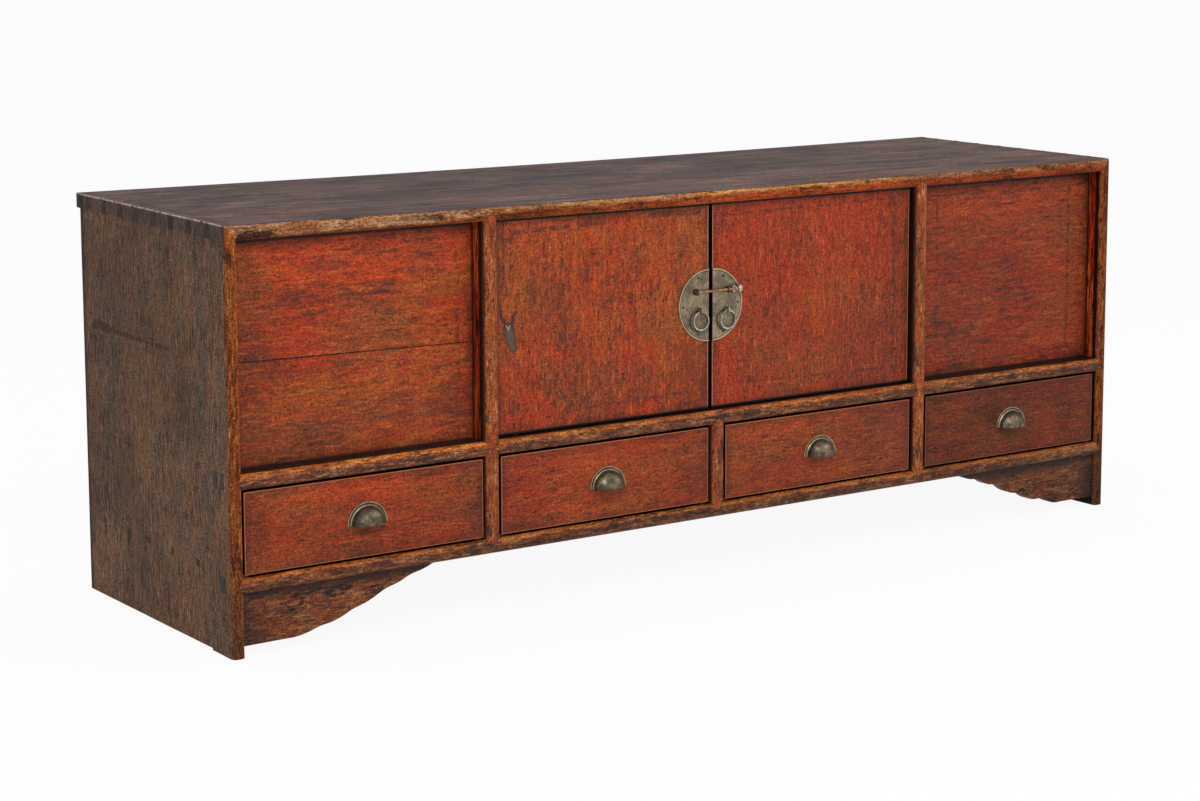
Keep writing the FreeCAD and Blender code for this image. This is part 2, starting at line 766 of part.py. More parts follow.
def make_lock_plate(side, sign):
    """Half of the round plate with its raised rim, cut along the doors' meeting edge."""
    meeting = f"{sign} * door_meeting_gap / 2 - meeting_offset"
    sheet_metal = half_disc(f"{side}_plate_disc", "plate_radius", "plate_thickness", sign)
    rim = half_disc(f"{side}_rim_outer", "plate_radius", "plate_rim_rise", sign)
    hollow = half_disc(f"{side}_rim_inner", "plate_radius - plate_rim_width",
                       "plate_rim_rise", sign)
    ring = cut_out(f"{side}_rim", rim, hollow)
    shift(ring, ("0", "-plate_thickness", "0"))
    plate = fused(f"{side}_lock_plate", sheet_metal, ring)
    place(plate, (meeting, "door_recess", "plate_height"))
    named(plate, f"{side}_lock_plate")
    nails = []
    for index, turn_share in enumerate(NAIL_TURN_SHARES):
        nail = primitive("Sphere", f"{side}_plate_nail_{index}", Radius="plate_nail_radius")
        nail.Angle1 = 0
        nail.Placement.Rotation = FreeCAD.Rotation(X_AXIS, QUARTER_TURN)
        turn = f"{HALF_TURN * turn_share}"
        reach = "(plate_radius - plate_nail_inset)"
        shift(nail, (f"{sign} * {reach} * sin({turn})", "-plate_thickness",
                     f"{reach} * cos({turn})"))
        nails.append(nail)
    group = grouped(f"{side}_plate_nails", *nails)
    place(group, (meeting, "door_recess", "plate_height"))
    named(group, f"{side}_plate_nails")


def make_eye(label, along, up):
    """A wire eye on a round collar, its hole along the cabinet."""
    loop = primitive("Torus", f"{label}_loop", Radius1="eye_radius", Radius2="eye_wire")
    loop.Placement.Rotation = FreeCAD.Rotation(Y_AXIS, QUARTER_TURN)
    collar = primitive("Cylinder", f"{label}_collar", Radius="eye_collar_radius",
                       Height="eye_collar_rise")
    collar.Placement.Rotation = FreeCAD.Rotation(X_AXIS, QUARTER_TURN)
    bind(collar, "Placement.Base.y", "eye_radius + eye_collar_rise")
    eye = fused(label, loop, collar)
    place(eye, (along, "eye_centre", up))
    named(eye, label)


def make_ring(side, along, up):
    """A ring pull: it hangs through its eye, in line with the door."""
    ring = primitive("Torus", f"{side}_ring", Radius1="ring_radius", Radius2="ring_wire")
    ring.Placement.Rotation = FreeCAD.Rotation(X_AXIS, QUARTER_TURN)
    place(ring, (along, "eye_centre", f"{up} - ring_sag - ring_radius"))
    named(ring, f"{side}_ring")


def make_lock_pin():
    """A straight pin with a lobed head: it rests in the right eye, just short of the left one."""
    tip = "-lock_eye_offset + eye_wire + pin_tip_gap"
    shank_length = "2 * lock_eye_offset - eye_wire - pin_tip_gap + pin_reach"
    shank = primitive("Cylinder", "pin_shank", Radius="pin_radius", Height=shank_length)
    shank.Placement.Rotation = FreeCAD.Rotation(Y_AXIS, QUARTER_TURN)
    bind(shank, "Placement.Base.x", tip)
    collar = primitive("Cylinder", "pin_collar", Radius="pin_radius + pin_collar_rise",
                       Height="pin_collar_length")
    collar.Placement.Rotation = FreeCAD.Rotation(Y_AXIS, QUARTER_TURN)
    bind(collar, "Placement.Base.x", "lock_eye_offset + pin_collar_start")
    # Each ball lies along the pin, with its seam turned away from the shank.
    balls = []
    for name, radius, start, up, turn in (
        ("knob", "pin_knob_radius", "pin_reach", "0", QUARTER_TURN),
        ("bulb", "pin_bulb_radius", "pin_bulb_start", "0", QUARTER_TURN),
        ("upper_lobe", "pin_lobe_radius", "pin_lobe_start", "pin_lobe_spread", -QUARTER_TURN),
        ("lower_lobe", "pin_lobe_radius", "pin_lobe_start", "-pin_lobe_spread", QUARTER_TURN),
    ):
        ball = primitive("Sphere", f"pin_{name}", Radius=radius)
        shift(ball, (f"lock_eye_offset + {start}", "0", up), (Y_AXIS, turn))
        balls.append(ball)
    pin = fused("lock_pin", shank, collar, *balls)
    place(pin, ("-meeting_offset", "eye_centre", "plate_height + lock_eye_rise"))
    named(pin, "lock_pin")


def make_hardware():
    for side, sign in (("left", -1), ("right", 1)):
        make_lock_plate(side, sign)
        make_eye(f"{side}_lock_eye", f"{sign} * lock_eye_offset - meeting_offset",
                 "plate_height + lock_eye_rise")
        along = f"{sign} * {side}_ring_offset - meeting_offset"
        up = f"plate_height - {side}_ring_drop"
        make_eye(f"{side}_ring_eye", along, up)
        make_ring(side, along, up)
    make_lock_pin()


def make_drawer(number, left, opening):
    """A lapped drawer box with a grooved-in bottom, and a cup pull nailed on its front."""
    name = f"drawer_{number}"
    edge = f"{left} + drawer_left_gap"
    width = f"({opening} - drawer_left_gap - {name}_right_gap)"
    floor = "bottom_rail_top + drawer_run_gap"
    piece = Piece(f"{name}_front", (edge, "drawer_recess", f"{floor} + drawer_drop"))
    outline = rectangle("0", "0", width, "drawer_front_height")
    piece.pad("front", [outline], "drawer_front_thickness")
    laps = [
        rectangle("0", "0", "drawer_side_thickness", "drawer_side_height - drawer_drop"),
        rectangle(f"{width} - drawer_side_thickness", "0", width,
                  "drawer_side_height - drawer_drop"),
    ]
    piece.cut("front", laps, "drawer_lap", "drawer_front_thickness - drawer_lap")
    groove = rectangle("drawer_side_thickness", "drawer_bottom_lift - drawer_drop",
                       f"{width} - drawer_side_thickness", "drawer_floor_top - drawer_drop")
    piece.cut("front", [groove], "drawer_groove", "drawer_front_thickness - drawer_groove")

    lap_start = "drawer_recess + drawer_front_thickness - drawer_lap"
    side_length = "drawer_length - drawer_front_thickness + drawer_lap"
    for side, start, groove_start in (
        ("left", "0", "drawer_side_thickness - drawer_groove"),
        ("right", f"{width} - drawer_side_thickness", "0"),
    ):
        board = Piece(f"{name}_{side}_side", (f"{edge} + {start}", lap_start, floor))
        board.pad("side", [rectangle("0", "0", side_length, "drawer_side_height")],
                  "drawer_side_thickness")
        groove = rectangle("0", "drawer_bottom_lift", side_length, "drawer_floor_top")
        board.cut("side", [groove], "drawer_groove", groove_start)
    slab(f"{name}_back", (f"{edge} + drawer_side_thickness",
                          "drawer_recess + drawer_length - drawer_side_thickness",
                          f"{floor} + drawer_floor_top"),
         f"{width} - 2 * drawer_side_thickness", "drawer_side_thickness",
         "drawer_side_height - drawer_floor_top")
    bite = "(drawer_side_thickness - drawer_groove)"
    front_bite = "(drawer_front_thickness - drawer_groove)"
    slab(f"{name}_bottom", (f"{edge} + {bite}", f"drawer_recess + {front_bite}",
                            f"{floor} + drawer_bottom_lift"),
         f"{width} - 2 * {bite}", f"drawer_length - {front_bite}", "drawer_bottom_thickness")
    make_pull(name, f"{edge} + {width} / 2", f"{floor} + drawer_drop + pull_lift")


def dome_shoulder(ball, across, up):
    """The middle of a dome's arc: the sums of its two ends give the direction from its centre."""
    half_across = f"(({across}) / 2)"
    half_up = f"(({up}) / 2 - dome_centre)"
    reach = f"sqrt({half_across} * {half_across} + {half_up} * {half_up})"
    return (f"{ball} * {half_across} / {reach}", f"dome_centre + {ball} * {half_up} / {reach}")


def make_pull(name, middle, low):
    """A cast cup pull: half a dome, open below for the fingers, in a half-round flange."""
    profile = [
        ("hollow_radius", "0"),
        ("pull_radius", "0"),
        ("pull_radius", "-pull_flange"),
        ("dome_radius", "-pull_flange", *dome_shoulder("dome_ball", "dome_radius",
                                                       "-pull_flange - dome_reach")),
        ("0", "-dome_reach"),
        ("0", "dome_wall - dome_reach", *dome_shoulder("hollow_ball", "hollow_radius",
                                                       "dome_wall - dome_reach")),
    ]
    cup = Piece(f"{name}_cup")
    cup.turn([profile])
    reach = "(pull_radius - pull_nail_inset)"
    nails = []
    for index, (along, up) in enumerate((
        (f"-{reach}", "pull_nail_inset"),
        (reach, "pull_nail_inset"),
        ("0", reach),
    )):
        nail = primitive("Sphere", f"{name}_pull_nail_{index}", Radius="pull_nail_radius")
        nail.Angle1 = 0
        nail.Placement.Rotation = FreeCAD.Rotation(X_AXIS, QUARTER_TURN)
        shift(nail, (along, "-pull_flange", up))
        nails.append(nail)
    pull = grouped(f"{name}_pull", cup.body, *nails)
    place(pull, (middle, "drawer_recess", low))
    named(pull, f"{name}_pull")


def make_drawers():
    openings = (
        ("-inner_half", "bay_width"),
        ("-post_right", "(post_right - post_width / 2)"),
        ("post_width / 2", "(post_right - post_width / 2)"),
        ("post_left", "bay_width"),
    )
    for number, (left, opening) in enumerate(openings, start=1):
        make_drawer(number, left, opening)


def check_and_export():
    """Stop on any failed object, then write each sub-part to its own file."""
    doc.recompute()
    for item in doc.Objects:
        if {"Invalid", "Error"} & set(item.State):
            raise ValueError(f"{item.Label}: {item.State}")
    for item in sub_parts:
        if item.Shape.isNull() or not item.Shape.isValid():
            raise ValueError(f"{item.Label}: its shape isn't valid")
    os.makedirs("parts", exist_ok=True)
    for item in sub_parts:
        item.Shape.exportStep(f"parts/{item.Label}.step")
    print(len(sub_parts), "sub-parts written")


make_top_board()
make_side_board()
make_posts()
make_bottom_rail()
make_mid_rails()
make_panels_and_boards()
make_bottom_board()
make_brackets()
make_door("left", "left_door_edge", "left_door_width", "pintle_inset")
make_door("right", "right_door_edge", "right_door_width", "right_door_width - pintle_inset")
make_hardware()
make_drawers()
check_and_export()
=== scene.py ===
import json
import math
import bmesh
import bpy
from mathutils import Matrix, Vector, noise

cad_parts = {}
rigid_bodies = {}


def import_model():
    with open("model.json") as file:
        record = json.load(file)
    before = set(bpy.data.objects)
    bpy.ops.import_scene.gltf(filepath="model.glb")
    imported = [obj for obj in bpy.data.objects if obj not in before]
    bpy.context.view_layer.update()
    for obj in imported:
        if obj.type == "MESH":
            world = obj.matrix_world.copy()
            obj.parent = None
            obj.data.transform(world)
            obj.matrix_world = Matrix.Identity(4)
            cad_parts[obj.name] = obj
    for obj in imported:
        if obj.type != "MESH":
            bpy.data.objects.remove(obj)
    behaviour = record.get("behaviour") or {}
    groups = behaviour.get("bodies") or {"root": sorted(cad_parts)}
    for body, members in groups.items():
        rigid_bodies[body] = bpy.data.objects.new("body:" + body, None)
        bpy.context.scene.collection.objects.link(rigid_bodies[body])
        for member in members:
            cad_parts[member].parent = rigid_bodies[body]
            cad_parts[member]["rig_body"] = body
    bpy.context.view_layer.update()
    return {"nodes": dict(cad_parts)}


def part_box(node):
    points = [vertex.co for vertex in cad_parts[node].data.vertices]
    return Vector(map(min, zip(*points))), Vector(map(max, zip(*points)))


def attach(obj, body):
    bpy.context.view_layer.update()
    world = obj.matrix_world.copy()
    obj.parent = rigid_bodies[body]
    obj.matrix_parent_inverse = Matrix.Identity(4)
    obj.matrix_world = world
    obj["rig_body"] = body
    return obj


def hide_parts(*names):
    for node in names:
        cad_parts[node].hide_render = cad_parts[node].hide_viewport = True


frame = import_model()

# A low Chinese sideboard in worn red lacquer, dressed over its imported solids. Metres, +Z up,
# front towards -Y. Every colour is written as sRGB out of 255.

MM = 0.001
NODES = frame["nodes"]
FRAME_FRONT = -0.237
BRACKET_FRONT = -0.23
SHARP_FOLD = 0.55


# Colours and shader trees

def rgb(red, green, blue):
    """A linear colour from sRGB values out of 255."""
    def linear(channel):
        share = channel / 255
        return share / 12.92 if share <= 0.04045 else ((share + 0.055) / 1.055) ** 2.4
    return (linear(red), linear(green), linear(blue), 1.0)


class Paint:
    """A shader tree in the making. Most calls add a node and give back its output socket; lay and
    dim change the colour reached so far."""

    def __init__(self, name, seed, tone):
        self.material = bpy.data.materials.new(name)
        self.material.use_nodes = True
        self.tree = self.material.node_tree
        self.tree.nodes.clear()
        self.seed = seed
        self.colour = rgb(*tone)
        self.place = self.add("ShaderNodeTexCoord").outputs["Object"]
        self.x, self.y, self.z = self.split(self.place)

    def add(self, kind, **settings):
        node = self.tree.nodes.new(kind)
        for key, setting in settings.items():
            setattr(node, key, setting)
        return node

    def feed(self, socket, source):
        if isinstance(source, bpy.types.NodeSocket):
            self.tree.links.new(source, socket)
        else:
            socket.default_value = source

    def split(self, vector):
        node = self.add("ShaderNodeSeparateXYZ")
        self.feed(node.inputs[0], vector)
        return node.outputs

    def math(self, operation, *values, clamp=False):
        node = self.add("ShaderNodeMath", operation=operation, use_clamp=clamp)
        for socket, source in zip(node.inputs, values):
            self.feed(socket, source)
        return node.outputs[0]

    def plus(self, first, second):
        return self.math("ADD", first, second)

    def minus(self, first, second):
        return self.math("SUBTRACT", first, second)

    def size(self, source):
        return self.math("ABSOLUTE", source)

    def product(self, *values):
        total = values[0]
        for source in values[1:]:
            total = self.math("MULTIPLY", total, source)
        return total

    def length(self, across, up):
        return self.math("SQRT", self.plus(self.product(across, across), self.product(up, up)))

    def step(self, source, low, high, to_low=0.0, to_high=1.0):
        """A smooth step from to_low to to_high while the source goes from low to high."""
        node = self.add("ShaderNodeMapRange", interpolation_type="SMOOTHSTEP")
        if high < low:
            low, high, to_low, to_high = high, low, to_high, to_low
        for socket, number in zip(node.inputs, (source, low, high, to_low, to_high)):
            self.feed(socket, number)
        return node.outputs[0]

    def fall(self, source, low, high):
        """1 while the source is below low, 0 when it is above high."""
        return self.step(source, low, high, 1.0, 0.0)

    def mapped(self, scale, turn=(0, 0, 0)):
        node = self.add("ShaderNodeMapping")
        self.feed(node.inputs["Vector"], self.place)
        node.inputs["Scale"].default_value = scale
        node.inputs["Rotation"].default_value = turn
        self.seed += 1.37
        node.inputs["Location"].default_value = (self.seed, -2 * self.seed, 3.1 * self.seed)
        return node.outputs[0]

    def noise(self, scale, detail=3, roughness=0.55, distortion=0.0, turn=(0, 0, 0)):
        """Noise whose scale is waves per metre along each axis."""
        vector = self.mapped(scale if isinstance(scale, tuple) else (scale,) * 3, turn)
        node = self.add("ShaderNodeTexNoise")
        self.feed(node.inputs["Vector"], vector)
        node.inputs["Scale"].default_value = 1.0
        node.inputs["Detail"].default_value = detail
        node.inputs["Roughness"].default_value = roughness
        node.inputs["Distortion"].default_value = distortion
        return node.outputs[0]

    def along(self, axis, across, ratio, *settings):
        """Noise drawn out along the grain: waves per metre across it, and how much longer along."""
        scale = [across] * 3
        scale["xyz".index(axis)] = across / ratio
        return self.noise(tuple(scale), *settings)

    def spots(self, scale, low, high, *settings):
        """A mask of noise that goes from 0 at low to 1 at high."""
        return self.step(self.noise(scale, *settings), low, high)

    def veins(self, axis, across, ratio, low, high, *settings):
        """The same along the grain."""
        return self.step(self.along(axis, across, ratio, *settings), low, high)

    def uneven(self, amount, scale, detail=4, roughness=0.65):
        """Noise about zero, amount high from crest to trough."""
        return self.product(self.minus(self.noise(scale, detail, roughness), 0.5), amount)

    def shaken(self, source, amount, scale, *settings):
        """The source made uneven."""
        return self.plus(source, self.uneven(amount, scale, *settings))

    def blend(self, amount, first, second, kind="MIX"):
        node = self.add("ShaderNodeMix", data_type="RGBA", blend_type=kind)
        self.feed(node.inputs[0], amount)
        self.feed(node.inputs[6], first)
        self.feed(node.inputs[7], second)
        return node.outputs[2]

    def shade(self, colour, amount):
        """The colour times a grey amount."""
        grey = self.add("ShaderNodeCombineColor")
        for socket in grey.inputs[:3]:
            self.feed(socket, amount)
        return self.blend(1.0, colour, grey.outputs[0], kind="MULTIPLY")

    def lay(self, tone, *masks):
        """Lay a tone, or a painted colour, over the colour so far where all the masks are."""
        over = tone if isinstance(tone, bpy.types.NodeSocket) else rgb(*tone)
        self.colour = self.blend(self.product(*masks), self.colour, over)

    def dim(self, *amounts):
        self.colour = self.shade(self.colour, self.product(*amounts))

    def facing(self, axis):
        """How far the surface, at rest, faces along an axis."""
        trait = self.add("ShaderNodeAttribute", attribute_name="rest_normal")
        return self.split(trait.outputs["Vector"])["xyz".index(axis)]

    def capsule(self, start, end, radius, across="x"):
        """1 inside a capsule drawn on the front (across x) or on a side (across y), else 0."""
        run, rise = end[0] - start[0], end[1] - start[1]
        part_x = self.minus(getattr(self, across), start[0])
        part_z = self.minus(self.z, start[1])
        dot = self.plus(self.product(part_x, run), self.product(part_z, rise))
        share = self.math("DIVIDE", dot, run * run + rise * rise, clamp=True)
        far = self.length(self.minus(part_x, self.product(share, run)),
                          self.minus(part_z, self.product(share, rise)))
        ragged = self.shaken(far, radius * 1.2, (500, 500, 160), 3, 0.55)
        return self.fall(ragged, radius * 0.55, radius)

    def rims(self, box):
        """The distances, seen from the front, to the nearest upright and to the nearest lying
        side of a box."""
        low, high = box
        return [self.math("MINIMUM", self.minus(getattr(self, axis), getattr(low, axis)),
                          self.minus(getattr(high, axis), getattr(self, axis))) for axis in "xz"]

    def ring(self, spot, radius, width):
        """1 on a ring about a spot of the front, else 0."""
        far = self.length(self.minus(self.x, spot[0]), self.minus(self.z, spot[1]))
        return self.fall(self.size(self.minus(far, radius)), width, width + 0.0004)

    def bump(self, height, strength, distance):
        node = self.add("ShaderNodeBump")
        node.inputs["Strength"].default_value = strength
        node.inputs["Distance"].default_value = distance
        self.feed(node.inputs["Height"], height)
        return node.outputs[0]

    def finish(self, roughness, normal, metallic=0.0, specular=0.5):
        shader = self.add("ShaderNodeBsdfPrincipled")
        self.feed(shader.inputs["Base Color"], self.colour)
        self.feed(shader.inputs["Roughness"], roughness)
        self.feed(shader.inputs["Metallic"], metallic)
        self.feed(shader.inputs["Normal"], normal)
        shader.inputs["Specular IOR Level"].default_value = specular
        output = self.add("ShaderNodeOutputMaterial")
        self.tree.links.new(shader.outputs[0], output.inputs["Surface"])
        return self.material


# Wood

def scratches(paint, turn, scale):
    """Long thin lines lying at a turn about the front's axis."""
    off = paint.size(paint.minus(paint.noise(scale, 2, 0.5, 0.0, turn), 0.5))
    place = paint.spots(13, 0.53, 0.6)
    return paint.product(paint.fall(off, 0.0, 0.012), place)


def paint_recess_glow_and_shade(paint, depth):
    """Sides of an opening that face left: painted shade at the front and in the corner, and a
    painted glow of reflected light between.
    """
    leftward = paint.fall(paint.facing("x"), -0.75, -0.55)
    share = paint.math("DIVIDE", paint.minus(paint.y, FRAME_FRONT), depth)
    share = paint.shaken(share, 0.3, (160, 160, 30), 6)
    behind = paint.step(share, 0.16, 0.26)
    band = paint.product(paint.step(share, 0.44, 0.54), paint.step(paint.z, 0.25, 0.262),
                         paint.veins("z", 300, 12, 0.36, 0.56, 5))
    # The painted glow, laid between the painted shade at the front and in the corner.
    painted_glow = paint.blend(paint.veins("z", 60, 8, 0.42, 0.58, 4), rgb(156, 40, 14), rgb(204, 92, 24))
    paint.lay(paint.blend(band, rgb(30, 18, 15), painted_glow), leftward, behind)


def washed(paint, washes):
    """Soft, uneven clouds of colour: each a centre on the front, its reach, a tone, an amount."""
    for centre, reach, tone, amount in washes:
        far = paint.length(paint.math("DIVIDE", paint.minus(paint.x, centre[0]), reach[0]),
                           paint.math("DIVIDE", paint.minus(paint.z, centre[1]), reach[1]))
        far = paint.shaken(far, 1.6, 18, 7, 0.75)
        paint.lay(tone, paint.fall(far, 0.35, 1.15), amount)


def lacquer(name, axis, seed, box, marks=(), cracks=(), bands=(), washes=(), painted_light=1.0,
            pale=0.85, redness=0.5, dirt=0.5, sides=True, rim_shadow_width=0.0026, lying_arris=True,
            flame=0.5, drawn=1.0, tones=((164, 54, 22), (154, 80, 34))):
    """Old red lacquer rubbed thin: red and orange clouds, dark stains along the grain, crackle."""
    paint = Paint(name, seed, tones[0])
    cloud = paint.along(axis, 7, 1.4, 8, 0.68, 0.4)
    patch = paint.along(axis, 26, 1.6 * drawn, 8, 0.78, 0.5)
    glow = paint.along(axis, 44, 2.6 * drawn, 8, 0.76, 0.3)
    streak = paint.along(axis, 280, 9, 5, 0.76)
    fibre = paint.along(axis, 430, 5, 4, 0.8)
    grit = paint.noise(330, 4, 0.8)
    middle = 0.42 + 0.16 * redness
    paint.lay(tones[1], paint.step(cloud, middle - 0.12, middle + 0.12))
    paint.lay((186, 92, 36), paint.step(glow, 0.48, 0.64), flame)
    washed(paint, washes)
    paint.lay((98, 54, 40), paint.step(patch, 0.5, 0.62), 0.2 + 0.6 * dirt)
    paint.lay((206, 104, 42), paint.step(streak, 0.53, 0.64), 0.5)
    paint.lay((86, 45, 34), paint.step(streak, 0.47, 0.36), 0.62)
    paint.lay((182, 44, 24), paint.veins(axis, 170, 3 * drawn, 0.5, 0.58, 6, 0.8), 0.34)
    place = paint.spots(8, 0.46, 0.6, 6, 0.7)
    grain = paint.veins(axis, 90, 2 * drawn, 0.49, 0.57, 8, 0.82)
    stain = paint.product(place, grain, 0.4 + 0.6 * dirt)
    paint.lay((64, 44, 38), stain)
    for run, ratio, low, amount in ((axis, 5, 0.6, 0.85),
                                    ("x" if axis == "z" else "z", 4, 0.62, 0.6)):
        paint.lay((34, 24, 22), paint.veins(run, 330, ratio, low, low + 0.04, 3, 0.7),
                  paint.spots(15, 0.45, 0.56), amount)
    for fineness, low in ((480, 0.6), (260, 0.62)):
        paint.lay((40, 24, 22), paint.spots(fineness, low, low + 0.05, 3, 0.6), 0.75)
    paint.lay((46, 30, 26), paint.math("MAXIMUM", scratches(paint, (0, 0.5, 0), (5, 60, 60)),
                                       scratches(paint, (0, -0.9, 0), (5, 70, 70))), 0.6)
    for start, end, radius, amount in bands:
        paint.lay((66, 42, 38), paint.capsule(start, end, radius), amount,
                  paint.spots(60, 0.44, 0.54, 5, 0.7), 0.85)
    paint.dim(paint.step(fibre, 0.36, 0.64, 0.78, 1.22), paint.step(grit, 0.38, 0.62, 0.64, 1.36))
    height = paint.plus(paint.product(fibre, 0.6), streak)
    upright, lying = paint.rims(box)
    rim = paint.math("MINIMUM", upright, lying)
    # Dirt and painted shade towards the rims, where the piece meets its frame.
    rim_dirt_and_shade = paint.fall(paint.shaken(rim, 0.05, 30, 6), 0.0, 0.016)
    paint.lay((58, 32, 26), rim_dirt_and_shade, 0.25 + 0.5 * dirt)
    # A painted shadow line along the rims, for the gaps around the piece in shade.
    thin = paint.shaken(rim, 0.5 * rim_shadow_width, 120)
    paint.lay((24, 15, 13), paint.fall(thin, 0.4 * rim_shadow_width, rim_shadow_width), 0.85)
    arris = paint.shaken(rim if lying_arris else upright, 0.0018, 200)
    paint.lay((224, 134, 80), paint.fall(arris, 0.001, 0.0018), pale)
    if not lying_arris:
        # Painted shadow in the gaps above and below a door.
        paint.lay((16, 11, 10), paint.fall(paint.shaken(lying, 0.001, 200), 0.0024, 0.0036))
    for start, end, radius, tone in marks:
        inside = paint.capsule(start, end, radius)
        paint.lay(tone, inside, 0.92)
        height = paint.minus(height, paint.product(inside, 1.5))
    for start, end, radius in cracks:
        inside = paint.capsule(start, end, radius)
        paint.lay((18, 12, 12), inside, 0.95)
        height = paint.minus(height, paint.product(inside, 3.0))
    # The light factor is painted light: the whole piece made lighter or darker for how light falls
    # on it.
    paint.dim(painted_light)
    if sides:
        aside = paint.facing("y")
        # Edges painted near black: painted shade of the gaps they face.
        paint.lay((20, 13, 11), paint.step(aside, -0.6, -0.3))
        plain = paint.blend(paint.veins(axis, 60, 12, 0.4, 0.62, 6, 0.7), rgb(124, 90, 60),
                            rgb(90, 64, 44))
        plain = paint.shade(plain, paint.step(fibre, 0.34, 0.66, 0.78, 1.2))
        paint.lay(plain, paint.step(aside, 0.3, 0.7))
    rough = paint.plus(paint.step(cloud, 0.35, 0.65, 0.38, 0.5), paint.product(stain, 0.2))
    return paint.finish(rough, paint.bump(height, 0.7, 0.0008), specular=0.15)


def frame_wood(name, axis, seed, ridge=FRAME_FRONT, painted_light=1.0, span=None, painted_recess_light_depth=0.0, worn=0.35,
               dirt=0.5, hollow=0.007, sides=None, shadow=None, painted_light_falloff=None,
               tones=((118, 50, 22), (142, 76, 34))):
    """A frame member: orange-brown lacquer worn to pale wood on its ridge, which also stands for a
    painted highlight there, and painted black shade on faces that lie deep behind its front.
    One that lies spans two heights: a painted gold highlight on its upper side, darker below."""
    paint = Paint(name, seed, tones[0])
    cloud = paint.along(axis, 30, 2.2, 8, 0.74, 0.4)
    streak = paint.along(axis, 300, 8, 5, 0.76)
    fibre = paint.along(axis, 430, 4, 4, 0.8)
    grit = paint.noise(320, 4, 0.8)
    paint.lay(tones[1], paint.step(cloud, 0.4, 0.58))
    paint.dim(paint.step(paint.along(axis, 9, 2.5, 5), 0.4, 0.6, 0.86, 1.14))
    paint.lay((150, 48, 24), paint.veins(axis, 26, 2, 0.5, 0.6, 7, 0.76), 0.4)
    back = paint.minus(paint.y, ridge)
    if span:
        share = paint.step(paint.shaken(paint.z, 0.008, (40, 80, 80), 5), *span)
        # A painted gold highlight along the upper side.
        painted_highlight_gold = paint.blend(paint.veins(axis, 60, 5, 0.44, 0.58, 6, 0.7), rgb(166, 84, 30),
                           rgb(206, 124, 52))
        paint.lay(painted_highlight_gold, paint.step(share, 0.78, 0.95), 0.9)
        under = paint.blend(paint.veins(axis, 80, 4, 0.46, 0.56, 6, 0.76), rgb(52, 35, 30),
                            rgb(110, 68, 46))
        paint.lay(under, paint.step(share, 0.85, 0.45), 0.8)
    paint.lay((184, 98, 42), paint.step(streak, 0.52, 0.62), 0.5)
    paint.lay((62, 32, 20), paint.step(streak, 0.48, 0.38), 0.7)
    # Pale worn wood on the crest, laid where a highlight falls, so partly a painted highlight.
    crest = paint.fall(paint.shaken(back, 0.005, 90), 0.0, 0.004)
    paint.lay((206, 148, 92), crest, paint.veins(axis, 130, 4, 0.5, 0.58, 7, 0.8), worn)
    paint.lay((40, 30, 28), paint.veins(axis, 30, 2.4, 0.52, 0.58, 7, 0.76),
              paint.veins(axis, 300, 5, 0.38, 0.52), 0.5 + 0.5 * dirt)
    paint.lay((42, 26, 20), paint.veins(axis, 440, 6, 0.57, 0.63, 3, 0.6), 0.75)
    paint.lay((36, 26, 24), paint.spots(340, 0.59, 0.64, 3, 0.6), 0.8)
    # A dark line along both sides of a post: dirt in the joints and painted shade where the post
    # meets its neighbours.
    if sides:
        aside = paint.math("MINIMUM", paint.minus(paint.x, sides[0]),
                           paint.minus(sides[1], paint.x))
        aside = paint.shaken(aside, 0.003, (160, 160, 40), 5)
        paint.lay((32, 20, 17), paint.step(aside, 0.0012, 0.0034, 0.85, 0.0))
    if shadow:
        end = paint.shaken(paint.size(paint.x), 0.03, 40, 6)
        under = paint.shaken(paint.z, 0.012, 60, 6)
        paint.lay((38, 24, 22), paint.math(
            "MAXIMUM", paint.step(end, shadow[0] - 0.05, shadow[0], 0.0, 0.75),
            paint.step(under, shadow[1] - 0.022, shadow[1] - 0.004, 0.0, 0.85)))
    # Painted black shade on faces that lie further back than the hollow depth behind the front,
    # such as a rail's top inside the gap under a door.
    deep = paint.step(paint.shaken(back, 0.003, 120), 0.75 * hollow, 1.15 * hollow)
    paint.lay((18, 12, 11), deep, 0.95)
    # Painted glow and shade on the sides of a recess that face left.
    if painted_recess_light_depth:
        paint_recess_glow_and_shade(paint, painted_recess_light_depth)
    # Painted light falling off along x: the member made brighter at one end and darker at the
    # other.
    if painted_light_falloff:
        paint.dim(paint.step(paint.x, *painted_light_falloff))
    # The light factor is painted light: the whole member made lighter or darker for how light falls
    # on it.
    paint.dim(paint.step(fibre, 0.36, 0.64, 0.7, 1.3), painted_light,
              paint.step(grit, 0.38, 0.62, 0.66, 1.34))
    height = paint.plus(paint.product(fibre, 0.7), paint.product(streak, 1.2))
    rough = paint.step(cloud, 0.35, 0.65, 0.42, 0.56)
    return paint.finish(rough, paint.bump(height, 0.8, 0.0009), specular=0.16)


